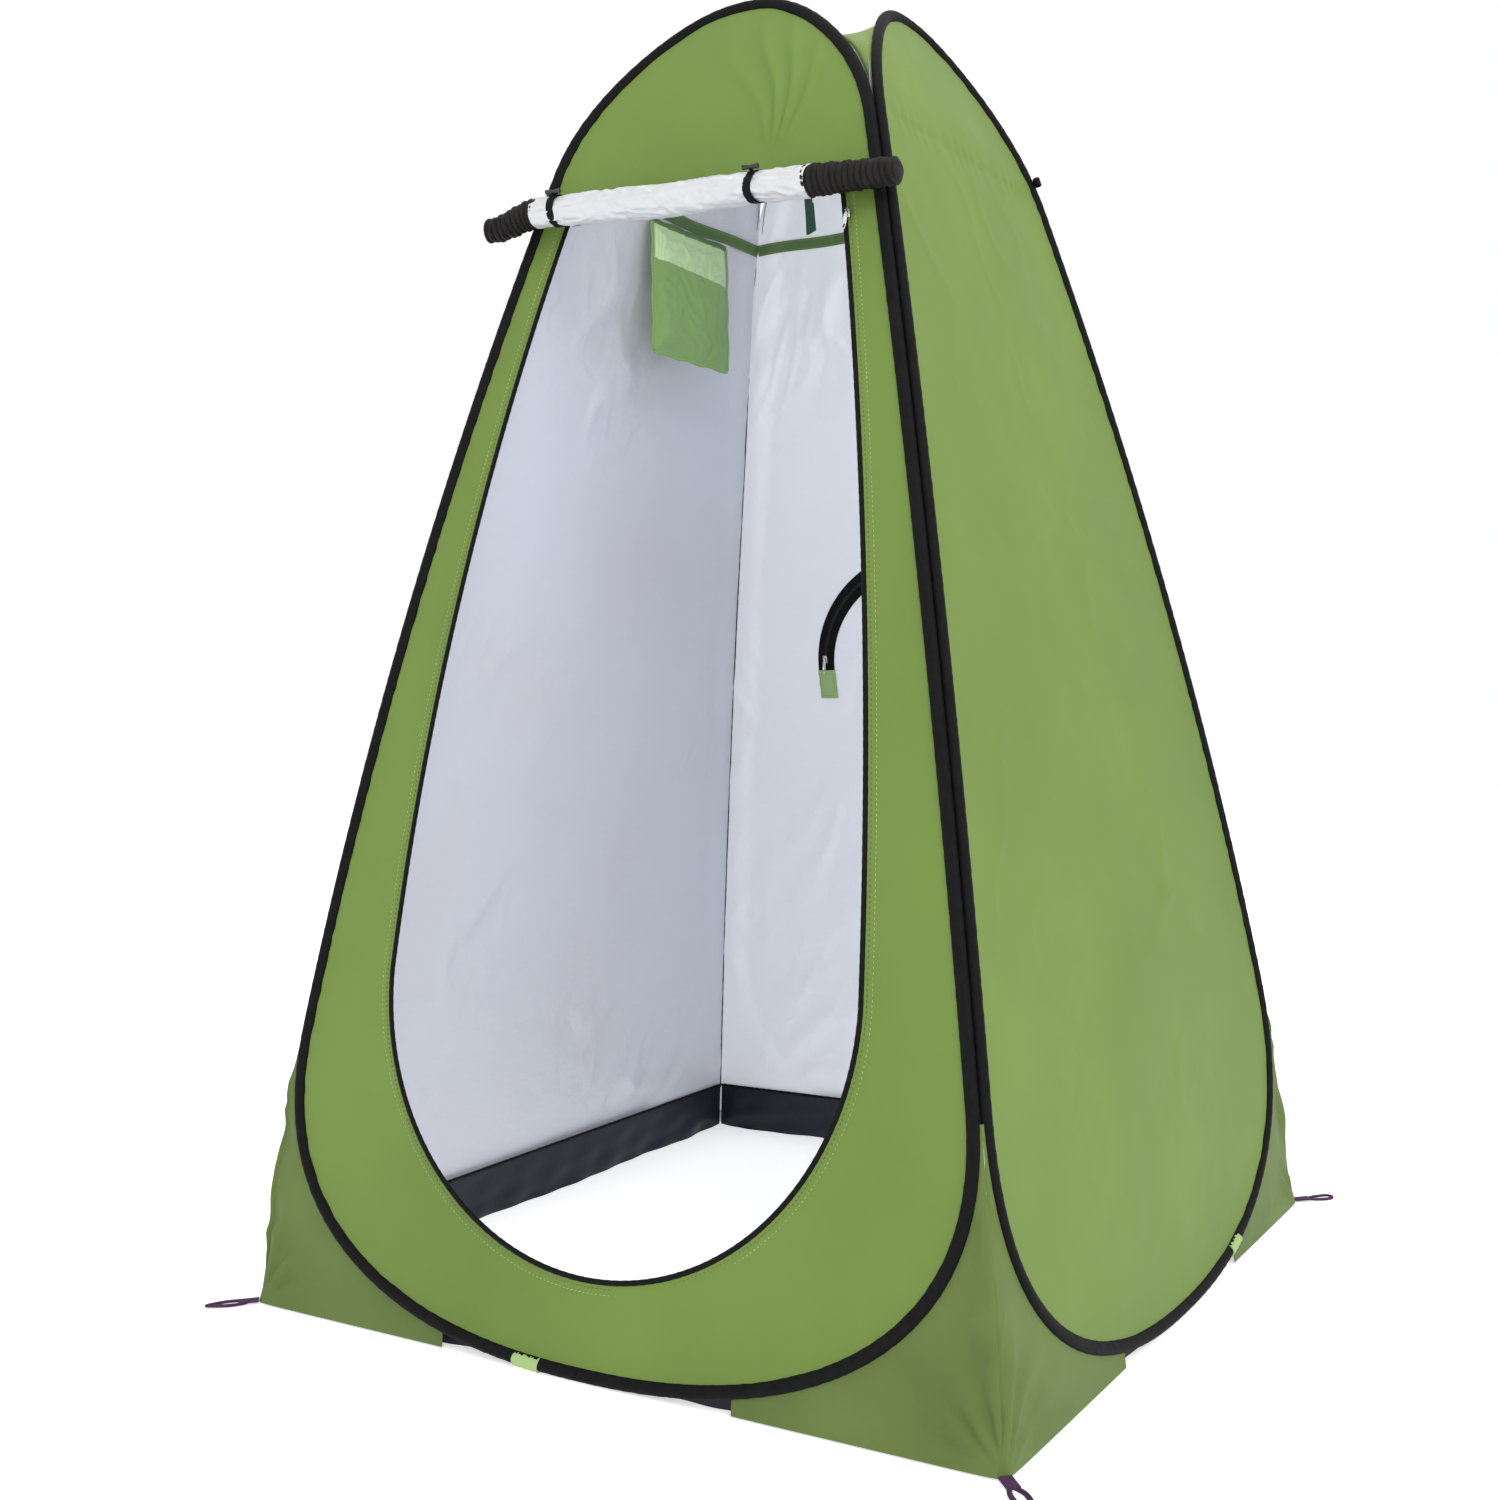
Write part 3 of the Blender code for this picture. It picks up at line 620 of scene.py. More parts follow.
def lining(wall):
    """The silver lining of a wall, drawn to the corners over the sleeves."""
    share = bunched(131, 0.30)
    z = level(np.linspace(LINING_LOW, LINING_HIGH, 150), len(share))
    widest = corner_half(z) - LINING_IN
    u = np.where(z > NECK_Z, np.minimum(widest, hoop_half(z, 0.0065)), widest) * share
    over = smooth_step((np.abs(u) - (hoop_half(z) - 0.055)) / 0.035)
    hem = smooth_step(hoop_gap(u, z, -0.003) / 0.05)
    still = quiet(wall, u, z)
    folded = creases(u, z, WALL_SEED[wall] + 2) * still * smooth_step((corner_half(z) - np.abs(u)) / 0.03)
    folded = folded * smooth_step((z - 0.10) / 0.06)
    near_tape = 0.0026 * np.exp(-(((z - TAPE_Z) / 0.025) ** 2))
    behind = LINING_NEAR + near_tape + (LINING_IN - LINING_NEAR) * over
    points = on_wall(wall, u, z, ripples(u, z, WALL_SEED[wall]) * still * hem - behind - folded)
    # The lining's material glows with painted light.
    wall_cloth(
        wall, wall + "_lining_SIDE_half", points, [LININGS_WITH_PAINTED_GLOW[wall]] * 2, "lining_silver", "stretched",
        wall + "_panel", thick=0.0005,
    )


def corner_seam(corner):
    """The bound seam inside a corner, where two linings meet."""
    first = CORNER_WALLS[corner][0]
    z = np.linspace(0.080, NECK_Z, 160)
    path = on_wall(first, corner_half(z) - LINING_IN - 0.0006, z, -LINING_IN - 0.0008)
    away = unit(-path * np.array([1, 1, 0]))
    run = unit(np.gradient(path, axis=0))
    radii = 0.0013 * (1 + 0.15 * np.sin(z * 900))[:, None] * np.ones((1, 8))
    mesh = tube_mesh("seam", path, unit(np.cross(run, away)), away, radii)
    join_corner(new_piece(f"corner_seam_{corner}", mesh, [SKIRT_BLACK]), corner, first)


def tie_folds(u, z):
    """Folds that fan up the front panel from the right tie to the hoop."""
    across, up = u - TIES["right"], z - 1.610
    reach = np.hypot(across, up)
    angle = np.arctan2(across, up) - 0.10 * np.sin(reach * 21)
    folds = ((-0.42, 0.07, 0.0030), (-0.16, 0.055, 0.0062), (0.06, 0.05, 0.0052), (0.30, 0.06, 0.0040))
    made = sum(height * np.exp(-(((angle - centre) / width) ** 2)) for centre, width, height in folds)
    return made * smooth_step(reach / 0.09) * (1 - 0.55 * smooth_step(reach / 0.30)) * (up > -0.01)


def front_wall():
    """The front panel: a strip each side of the door with half of the sill, and the lintel above."""
    heights = hoop_heights(PANEL_EDGE, 30, 170, 48)
    dip = DOOR_WIDEST_Z - (DOOR_WIDEST_Z - DOOR_Z0) * np.cos(np.linspace(0, math.pi / 2, 41))
    strips = np.concatenate([dip, np.linspace(DOOR_WIDEST_Z, DOOR_Z1, 91)[1:]])
    sill = np.append(heights[heights < DOOR_Z0 - 0.004], DOOR_Z0)
    lintel = np.insert(heights[heights > DOOR_Z1 + 0.004], 0, DOOR_Z1)
    spread = np.linspace(0, 1, 35)

    def displaced(u, z):
        inside = hoop_gap(u, z, PANEL_EDGE)
        free = np.where((z > DOOR_Z0) & (z < DOOR_Z1), smooth_step((np.abs(u) - door_half(z)) / 0.035), 1)
        free = free * smooth_step(np.abs(z - DOOR_Z0) / 0.03 + (np.abs(u) > 0.05))
        slack = ripples(u, z, WALL_SEED["front"]) * free + tie_folds(u, z)
        gathers = edge_gathers(z, inside, WALL_SEED["front"])
        return on_wall("front", u, z, slack * smooth_step(inside / 0.05) + gathers)

    for side, word in ((-1, "left"), (1, "right")):
        z = level(strips, len(spread))
        u = side * (door_half(z) + (hoop_half(z, PANEL_EDGE) - door_half(z)) * spread)
        z_low = level(sill, len(spread))
        u_low = side * hoop_half(z_low, PANEL_EDGE) * spread
        points = np.concatenate([displaced(u_low, z_low)[:-1], displaced(u, z)])[:, ::side]
        normals = normals_of(points)
        split = len(sill) + 39
        for part, rows in (("below", slice(0, split + 1)), ("beside", slice(split, None))):
            half = cloth(
                f"front_panel_{part}_door_{word}", points[rows], SHELL, "shell_green", "stretched",
                normals=normals[rows], rests_on=["front_sleeve"],
            )
            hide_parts("front_panel")
            hang(half, "front", side)
    share = np.linspace(-1, 1, 141)
    z = level(lintel, len(share))
    points = displaced(hoop_half(z, PANEL_EDGE) * share, z)
    name = "front_panel_above_door_SIDE"
    wall_cloth("front", name, points, SHELL, "shell_green", "stretched", "front_sleeve")


def hoop_line(side, steps):
    """u and z evenly along one side of a hoop, from its lowest point to its highest."""
    quarter = np.sin(np.linspace(0, math.pi / 2, 60))
    toe, crown = TOE_Z - (TOE_Z - HOOP_LOW) * quarter[::-1], NECK_Z + (HOOP_HIGH - NECK_Z) * quarter
    z = np.concatenate([toe, np.linspace(TOE_Z, NECK_Z, 40)[1:-1], crown])
    u = side * hoop_half(z)
    u[0], u[-1] = 0.0, 0.0
    line = np.stack([u, z], axis=1)
    return points_at(line, np.linspace(0, lengths(line)[-1], steps)).T


def tube_along(name, wall, u, z, radius, sides, shape=None, ends=(None, None)):
    """A tube along (u, z) in a wall's surface. shape(angle, along) scales its radius."""
    path = on_wall(wall, u, z)
    run = np.gradient(path, axis=0)
    out = unit(on_wall(wall, u, z, 0.01) - path)
    for row, flat in zip((0, -1), ends):
        if flat is not None:
            run[row] = flat
    across = unit(np.cross(run, out))
    angles = np.linspace(0, 2 * math.pi, sides, endpoint=False)
    radii = np.full((len(u), sides), radius)
    if shape:
        radii = radii * shape(angles[None, :], np.arange(len(u))[:, None] / (len(u) - 1))
    return tube_mesh(name, path, across, out, radii)


def sleeves(wall):
    """The black sleeve round the hoop, drawn to a flat where it is sewn to the panel, and the wire in it."""
    along = on_wall(wall, 1.0, 1.0) - on_wall(wall, 0.0, 1.0)
    for side, word in ((-1, "left"), (1, "right")):
        u, z = hoop_line(side, 420)
        inward = math.pi if side > 0 else 0.0

        def drawn(angle, share, inward=inward):
            flat = np.maximum(0.0, np.cos(angle - inward)) ** 7
            fine = 0.022 * np.sin(share * 1530 + 3 * np.sin(share * 171))
            return 1 + 0.42 * flat + fine + 0.02 * np.sin(share * 611 + angle * 2)

        ends = (along * side, -along * side)
        sleeve = tube_along("sleeve", wall, u, z, SLEEVE_R, 14, drawn, ends)
        wire = tube_along("wire", wall, u[::5], z[::5], 0.0022, 8, None, ends)
        for part, mesh, material, slot in (
            ("sleeve", sleeve, BLACK, "sleeve_black"),
            ("hoop", wire, STEEL, "spring_steel"),
        ):
            piece = new_piece(f"{wall}_{part}_{word}_half", mesh, [material])
            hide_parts(f"{wall}_{part}")
            hang(piece, wall, side)


def sleeve_patch(wall):
    """The light cloth sewn over the join in the sleeve, where the wire's ends meet."""
    low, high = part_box(wall + "_sleeve_patch")
    x, y = (low.x + high.x) / 2, (low.y + high.y) / 2
    for _ in range(WALLS[wall]):
        x, y = y, -x
    reach = 0.021
    z_all = np.linspace(HOOP_LOW, 0.2, 4000)
    curve = np.stack([math.copysign(1, x) * hoop_half(z_all), z_all], axis=1)
    at = np.interp(abs(x), np.abs(curve[:, 0]), lengths(curve))
    u, z = points_at(curve, np.linspace(at - reach, at + reach, 34)).T

    def wrapped(angle, share):
        hem = 1 + 0.05 * np.exp(-(((share - 0.5) * 2) ** 2 - 1) ** 2 / 0.02)
        return hem + 0.045 * np.sin(share * 23 + angle * 3) + 0.03 * np.sin(share * 61 - angle * 2)

    mesh = tube_along("patch", wall, u, z, SLEEVE_R * 1.22, 20, wrapped)
    patch = new_piece(wall + "_sleeve_patch_cloth", mesh, [LIGHT_GREEN])
    stand_for(patch, wall + "_sleeve_patch", wall)


# ---- Corners, skirt and roof ----


GUSSET_FROM, GUSSET_TOP = 0.235, 0.385  # where its hem leaves the hoop, from a wall's middle, and its height


def gusset_points(corner):
    """A grid between two hoops' toes, each row a conic drawn tightly to the corner, and its z and t."""
    first, second = CORNER_WALLS[corner]
    z = np.linspace(0.0022, GUSSET_TOP, 56)
    t = np.linspace(0, 1, 91)
    near = np.maximum(hoop_half(z, 0.0055), GUSSET_FROM)
    ends = on_wall(first, near, z), on_wall(first, corner_half(z) - 0.0012, z), on_wall(second, -near, z)
    weight = (14.0 + 18.0 * np.exp(-z / 0.06))[:, None]
    mix = (1 - t) ** 2 + 0 * weight, 2 * weight * t * (1 - t), t**2 + 0 * weight
    return sum((m / sum(mix))[..., None] * end[:, None] for m, end in zip(mix, ends)), z, t


def gusset(corner):
    """The crumpled cloth that fills the corner between two hoops' toes, down to its pegged tip."""
    walls = CORNER_WALLS[corner]
    points, z, t = gusset_points(corner)
    away = points - points[0, len(t) // 2]
    reach = np.linalg.norm(away, axis=2)
    tilt = np.arctan2(away[..., 2], np.linalg.norm(away[..., :2], axis=2))
    flank = np.where(t < 0.5, -1.0, 1.0)[None, :]
    folds = 0.0050 * np.sin(tilt * 15 + flank * 1.3 + 4 * reach)
    folds = folds * smooth_step(reach / 0.07) * np.exp(-reach / 0.34)
    seed = 5.0 + 9.0 * list(CORNER_WALLS).index(corner)

    def crumple(place):
        p = Vector(place)
        bend = noise.noise(p * 7 + Vector((seed, 0, 0)))
        ridge = 1 - abs(noise.noise(p * 13 + Vector((bend, seed, bend))))
        return 0.0075 * bend + 0.0100 * (ridge - 0.78) + 0.0012 * noise.noise(p * 42)

    free = smooth_step(np.minimum(t, 1 - t) / 0.07)[None, :] * smooth_step((z - 0.0022) / 0.035)[:, None]
    free = free * smooth_step((GUSSET_TOP - z) / 0.08)[:, None]
    # The lining hangs just inside, so that the cloth stands off it.
    rise = np.maximum(folds + field(crumple, points), -0.004) * free
    points = points + normals_of(points) * rise[..., None]
    points[..., 2] = np.maximum(points[..., 2], 0.0014)
    # The gussets' darker green is painted shade.
    cloths = [SHADED_GUSSET_GREEN, SILVER], "gusset_green", "stretched"
    wide = BASE_HALF - GUSSET_FROM
    if corner in HINGES:
        piece = cloth(
            f"gusset_{corner}_cloth", points, *cloths, thick=0.0007,
            rests_on=[wall + "_sleeve" for wall in walls], cut=(2 * wide, GUSSET_TOP),
        )
        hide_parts(*(f"gusset_{corner}_{wall}" for wall in walls))
        join_corner(piece, corner, walls[0])
        return
    normals = normals_of(points)
    for wall, (_, _, columns) in zip(walls, halves(len(t))):
        piece = cloth(
            f"gusset_{corner}_{wall}_cloth", points[:, columns], *cloths, thick=0.0007,
            normals=normals[:, columns], rests_on=[wall + "_sleeve"], cut=(wide, GUSSET_TOP),
        )
        stand_for(piece, f"gusset_{corner}_{wall}", wall)


def skirt(wall):
    """The black band inside a wall along the ground, with a turned and stitched upper edge."""
    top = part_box(wall + "_skirt")[1].z
    share = np.linspace(-1, 1, 161)
    z = level(np.linspace(0.0004, top, 17), len(share))
    u = (corner_half(z) - 0.0150) * share
    wave = 0.0045 * np.sin(u * 19 + 1.7 * np.sin(u * 7 + WALL_SEED[wall])) + 0.0016 * np.sin(u * 71 + z * 50)
    wave = wave + 0.0012 * np.sin(z * 160 + u * 23)
    free = (1 - z / top) * smooth_step((1 - np.abs(share)) / 0.06)[None, :]
    points = on_wall(wall, u, z, -0.0125 - 0.006 * free + wave * free)
    points[..., 2] = np.maximum(points[..., 2], 0.0006)

    def hem(side, word, columns, _normals):
        mesh = tube_mesh("hem", *hem_tube(wall, u[-1, columns], top, -0.0130))
        hang(new_piece(f"{wall}_skirt_hem_{word}", mesh, [BLACK]), wall, side)

    wall_cloth(
        wall, wall + "_skirt_SIDE_half", points, [SKIRT_BLACK] * 2, "skirt_black", "hung", wall + "_panel",
        node=wall + "_skirt", trim=hem,
    )


def hem_tube(wall, u, z, out):
    """The path, axes and radii of a skirt's rolled hem."""
    path = on_wall(wall, u, z, out)
    across = unit(on_wall(wall, u, z, out + 0.01) - path)
    up = unit(on_wall(wall, u, z + 0.01, out) - path)
    wobble = 1 + 0.12 * np.sin(u * 410)[:, None]
    return path, across, up, 0.0026 * wobble * np.ones((1, 10))


def roof(wall):
    """A quarter of the roof: slack cloth from one hoop's crown to the middle."""
    z_side = NECK_Z + (HOOP_HIGH - NECK_Z) * np.sin(np.linspace(0, math.pi / 2, 46))
    u_side = hoop_half(z_side, -0.001)
    u_side[-1] = 0.0
    u = np.concatenate([-u_side, u_side[-2::-1]])
    edge = on_wall(wall, u, np.concatenate([z_side, z_side[-2::-1]]), -0.004)
    middle = on_wall(wall, 0.0, CROWN_Z) * np.array([0.004, 0.004, 1.0])
    share = np.linspace(1.0, 0.0, 44)[:, None]
    points = middle + (edge - middle) * share[..., None]
    points[..., 2] = CROWN_Z + (edge[:, 2] - CROWN_Z) * share**3
    normals = normals_of(points)
    if normals[..., 2].mean() < 0:
        points, normals = points[:, ::-1], -normals[:, ::-1]
    spread = np.linspace(-1, 1, len(u))[None, :]
    free = smooth_step((1 - share) / 0.10) * smooth_step(share / 0.25)
    free = free * smooth_step((1 - np.abs(spread)) / 0.12)
    seed = WALL_SEED[wall] * 1.7

    def slack(place):
        p = Vector(place)
        swell = noise.noise(p * 6 + Vector((seed, 0, 0)))
        return 0.0040 * swell + 0.0030 * (0.7 - abs(noise.noise(p * 15 + Vector((swell, seed, 0)))))

    points = points + normals * (field(slack, points) * free)[..., None]
    normals = normals_of(points)
    out, anchor = tuple(wall_frame(wall, 1.75)[1]), tuple(on_wall(wall, 0.0, 1.80, -0.006))
    for _, word, columns in halves(len(u)):
        # The roof's lighter green is painted light.
        piece = cloth(
            f"{wall}_roof_{word}_half", points[:, columns], [LIT_ROOF_GREEN, SILVER], "crown_green", "stretched",
            normals=normals[:, columns], rests_on=[wall + "_sleeve"],
        )
        stand_for(piece, wall + "_roof", wall)
        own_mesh(piece)


def seam_tape(wall):
    """The flat tape over the seam inside a wall, with two rows of stitches."""
    half = float(corner_half(TAPE_Z)) - LINING_IN - 0.0045
    z = level(np.linspace(TAPE_Z - 0.009, TAPE_Z + 0.009, 9), 161)
    u = np.repeat((half * np.linspace(-1, 1, 161))[None, :], 9, axis=0)
    over = smooth_step((np.abs(u) - half + 0.060) / 0.030)
    lift = -0.0072 - 0.0066 * over - 0.0010 * np.sin(u * 95 + 2 * np.sin(u * 23))
    points = on_wall(wall, u, z + 0.0014 * np.sin(u * 31 + 1.0), lift)

    def rows(side, word, columns, normals):
        for row, place in ((1, "low"), (7, "high")):
            made = stitches(
                f"{wall}_seam_stitches_{word}_{place}", points[row, columns], -normals[row, columns] * 0.0006,
                THREAD_GREEN,
            )
            hang(made, wall, side)

    wall_cloth(
        wall, wall + "_seam_tape_SIDE_half", points, [SEAM_GREEN] * 2, "shell_green", "hung", wall + "_panel",
        node=wall + "_seam_tape", trim=rows,
    )


# ---- Door ----


def door_line(offset=0.0):
    """(u, z) round the door's sides and sill, from the left top to the right top, offset outwards."""
    dip = DOOR_WIDEST_Z - (DOOR_WIDEST_Z - DOOR_Z0) * np.cos(np.linspace(0, math.pi / 2, 60))
    z = np.concatenate([dip, np.linspace(DOOR_WIDEST_Z, DOOR_Z1, 110)[1:]])
    u = door_half(z)
    line = np.concatenate([np.stack([-u, z], axis=1)[::-1], np.stack([u, z], axis=1)[1:]])
    run = unit(np.gradient(line, axis=0))
    return line + np.stack([run[:, 1], -run[:, 0]], axis=1) * offset


def door_binding():
    """The piped edge of the door, and the two rows of stitches beside it."""
    line = door_line(-0.0034)
    top = np.stack([np.linspace(line[-1, 0], line[0, 0], 60), np.full(60, DOOR_Z1 - 0.0034)], axis=1)
    line = np.concatenate([line, top[1:-1]])
    u, z = points_at(line, np.linspace(0, lengths(line)[-1], 900)).T
    path = on_wall("front", u, z)
    out = unit(on_wall("front", u, z, 0.01) - path)
    across = unit(np.cross(np.gradient(path, axis=0), out))
    angles = np.linspace(0, 2 * math.pi, 12, endpoint=False)
    gather = 1 + 0.05 * np.sin(np.arange(900) * 1.9)[:, None] + 0.55 * np.maximum(0, np.cos(angles)) ** 5
    mesh = tube_mesh("door_binding", path, across, out, 0.0030 * gather, closed=True)
    stand_for(new_piece("door_binding", mesh, [BLACK]), "door_piping", "front")
    for place, offset, material in (("inner", 0.0055, THREAD_DARK), ("outer", 0.0130, THREAD_GREEN)):
        path = on_wall("front", *door_line(offset).T, 0.0007)
        row = stitches(
            f"door_stitches_{place}", path, everywhere([0, 0, 0], path), material,
            long=0.0036, gap=0.0030, thick=0.0005,
        )
        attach(row, "front")


def roll_axis(u):
    """The middle of the rolled door, a little slack between its ties, its left end drooping."""
    low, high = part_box("door_roll")
    y, z = (low.y + high.y) / 2, (low.z + high.z) / 2
    u = np.asarray(u, float)
    droop = -0.018 * smooth_step((-0.262 - u) / 0.085) - math.tan(ROLL_TILT) * (u - (low.x + high.x) / 2)
    slack = -0.0030 * np.cos(np.clip((u + 0.05) / 0.17, -1, 1) * math.pi / 2)
    return np.stack([u, np.full(u.shape, y), z + droop + slack], axis=-1)


def roll_radius(u, angle):
    """The roll's surface: pinched at the ties, with folds that run out of each pinch and round the roll."""
    made = np.full(np.broadcast(u, angle).shape, ROLL_R)
    for tie in TIES.values():
        near = (u - tie) / 0.0125
        made = made - 0.0020 * np.exp(-(near**2))
        fan = np.exp(-(np.abs(u - tie) / 0.030)) * (1 - np.exp(-(near**2)))
        made = made + 0.0013 * fan * np.sin(angle * 9 + (u - tie) * 60)
    made = made + 0.0009 * np.sin(angle * 2 + u * 14) + 0.0007 * np.sin(angle * 3 - u * 31)
    made = made - 0.0016 * np.exp(-(((angle - 2.1 - 0.5 * np.sin(u * 9)) / 0.16) ** 2))
    made = made - 0.0012 * np.exp(-(((angle - 4.4 + 0.3 * np.sin(u * 13)) / 0.20) ** 2))
    return made


def bar_along(name, u, radii, material, node):
    """A bar along the rolled door's middle, in place of a node."""
    path = roll_axis(u)
    run = unit(np.gradient(path, axis=0))
    across = unit(np.cross(run, everywhere([0, 0, 1], path)))
    mesh = tube_mesh(name, path, across, np.cross(across, run), radii)
    stand_for(new_piece(name, mesh, [material]), node, "front")


def door_roll():
    """The rolled silver door, creased round and along."""
    low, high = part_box("door_roll")
    u = np.linspace(low.x - 0.004, high.x + 0.024, 260)
    places, angles = np.meshgrid(u, np.linspace(0, 2 * math.pi, 96, endpoint=False), indexing="ij")

    def crumple(x, angle):
        p = Vector((x * 26, math.cos(angle) * 1.3, math.sin(angle) * 1.3))
        bend = noise.noise(p)
        fold = abs(noise.noise(Vector((p.x * 1.7 + 2.2 * angle / math.pi, p.y * 1.6, p.z * 1.6 + bend))))
        return 0.0012 * bend + 0.0036 * (0.28 - fold)

    radii = roll_radius(places, angles) + field(crumple, places, angles)
    bar_along("rolled_door", u, radii, ROLL_SILVER, "door_roll")


def roll_end(name, side, start, end, taper):
    """A gathered black end of the roll: ribs that wander round it, and a rounded tip."""
    u = np.linspace(start, end, 210)
    share = ((u - u[0]) if side > 0 else (u[-1] - u)) / (u[-1] - u[0])
    phase = (share * (u[-1] - u[0]) / 0.0092 * 2 * math.pi)[:, None]
    angle = np.linspace(0, 2 * math.pi, 48, endpoint=False)[None, :]
    share = share[:, None]
    skew = 0.9 * np.sin(angle + 1.1) + 0.5 * np.sin(angle * 2 + 0.4) * np.sin(share * 9)
    rib = np.abs(np.sin((phase + skew) / 2)) ** 0.7
    radii = ROLL_R - taper * share - 0.0042 * (1 - rib) + 0.0008 * np.sin(angle * 3 + phase * 0.37)
    radii = radii * np.clip(1 - (np.clip(share - 0.95, 0, 1) / 0.05) ** 2 * 0.5, 0.3, 1)
    bar_along(name + "_gathered", u, radii, GATHERED_BLACK, name)


def ties():
    """Each strap goes round the roll, and a stem at its top carries its toggle."""
    for word, u in TIES.items():
        angle = np.linspace(math.radians(100), math.radians(100 + 352), 90)
        centre = roll_axis(np.array([u]))[0]
        reach = roll_radius(np.full(90, u), angle % (2 * math.pi)) + 0.0012 + 0.0006 * np.linspace(0, 1, 90)
        path = centre + np.stack([np.zeros(90), np.cos(angle) * reach, np.sin(angle) * reach], axis=1)
        path[:, 0] += 0.0035 * np.sin(angle + 0.6)
        strap = ribbon(
            f"tie_strap_{word}_webbing", path, everywhere(ROLL_WAY, path), unit(path - centre),
            0.0130, 0.0014, BLACK, "tie_black",
        )
        stand_for(strap, f"tie_strap_{word}", "front")
        low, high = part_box(f"toggle_{word}")
        middle = np.array((low + high) / 2)
        toggle_barrel(word, middle)
        away = unit(middle - centre)
        stem = centre + away * np.linspace(0.018, np.linalg.norm(middle - centre) - 0.002, 12)[:, None]
        off = everywhere(np.cross(away, ROLL_WAY), stem)
        name = f"toggle_{word}_loop"
        loop = ribbon(name, stem, everywhere(ROLL_WAY, stem), off, 0.0060, 0.0016, BLACK, "tie_black")
        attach(loop, f"toggle_{word}")


def toggle_barrel(word, place):
    """A moulded toggle: a waisted barrel, its ends rounded."""
    share = np.linspace(-1, 1, 41)
    radius = 0.0031 + 0.0010 * np.abs(share) ** 3 - 0.0009 * np.exp(-((share / 0.22) ** 2))
    radius = radius * np.sqrt(np.clip(1 - (np.abs(share) - 0.90).clip(0) ** 2 / 0.0105, 0.05, 1))
    path = place + 0.013 * share[:, None] * ROLL_WAY
    radii = np.repeat(radius[:, None], 20, axis=1)
    mesh = tube_mesh("toggle", path, everywhere([0, 1, 0], path), everywhere([0, 0, 1], path), radii)
    barrel = new_piece(f"toggle_{word}_barrel", mesh, [TOGGLE])
    stand_for(barrel, f"toggle_{word}", f"toggle_{word}")


# ---- Zips ----


def rounded_block(size, place, turn, bevel, taper=1.0):
    """A bmesh block with rounded edges, its top narrowed by taper."""
    made = bmesh.new()
    bmesh.ops.create_cube(made, size=1, matrix=Matrix.Diagonal((*size, 1)))
    for vertex in made.verts:
        if vertex.co.z > 0:
            vertex.co.x *= taper
    bmesh.ops.bevel(made, geom=made.edges[:], offset=bevel, segments=3, profile=0.5, affect="EDGES")
    made.transform(Matrix.Translation(place) @ turn)
    return made


def joined(name, solids, material):
    whole = bmesh.new()
    for solid in solids:
        part = baked(solid, "part")
        whole.from_mesh(part)
        bpy.data.meshes.remove(part)
    return new_piece(name, baked(whole, name), [material])


def zip_slider(prefix, wall, face):
    """A slider of two plates, the post between them and a bridge for the pull."""
    low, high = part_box(prefix + "_zip_slider")
    middle = (low + high) / 2
    along, out, up = wall_frame(wall, middle.z)
    out = out * face
    turn = Matrix((along * face, -out, up)).transposed().to_4x4()
    blocks = (  # size, how far out and up, bevel, taper
        ((0.0098, 0.0012, 0.0146), 0.0004, 0.0, 0.0005, 0.78),
        ((0.0090, 0.0010, 0.0140), -0.0014, 0.0, 0.0004, 0.82),
        ((0.0024, 0.0030, 0.0030), -0.0002, 0.0055, 0.0004, 1.0),
        ((0.0022, 0.0012, 0.0085), 0.0022, 0.0, 0.0005, 1.0),
        ((0.0022, 0.0022, 0.0016), 0.0014, 0.0040, 0.0004, 1.0),
        ((0.0022, 0.0022, 0.0016), 0.0014, -0.0040, 0.0004, 1.0),
    )
    solids = [
        rounded_block(size, middle + out * lift + up * rise, turn, bevel, taper)
        for size, lift, rise, bevel, taper in blocks
    ]
    slider = joined(prefix + "_slider_body", solids, NICKEL)
    stand_for(slider, prefix + "_zip_slider", prefix + "_slider")
    zip_pull(prefix, np.array(along), np.array(up) if face > 0 else np.array([0.0, 0.0, 1.0]))


def zip_pull(prefix, along, up):
    """A pull with a hole for a cord near its end: a rounded section taken round the hole."""
    low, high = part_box(prefix + "_zip_pull")
    angle = np.linspace(0, 2 * math.pi, 40, endpoint=False)
    x, y = np.cos(angle), np.sin(angle)
    outline = np.stack([x * (0.0026 + 0.0005 * (1 - y)), np.copysign(np.abs(y) ** 0.75, y) * 0.0150], axis=1)
    hole, hole_at = np.stack([x * 0.0016, y * 0.0028], axis=1), np.array([0.0, -0.0095])
    layers = ((-0.0008, 0.94), (-0.0004, 1.0), (0.0004, 1.0), (0.0008, 0.94))  # lift and growth
    section = [(outline * grow, lift) for lift, grow in layers]
    section += [(hole_at + hole * (2 - grow), lift) for lift, grow in layers[::-1]]
    middle, off = np.array((low + high) / 2), np.cross(along, up)
    rings = [middle + flat[:, :1] * along + flat[:, 1:] * up + off * lift for flat, lift in section]
    name = prefix + "_pull_tab"
    pull = new_piece(name, skin(name, np.stack(rings, axis=1), closed=True), [NICKEL])
    stand_for(pull, prefix + "_zip_pull", prefix + "_pull")


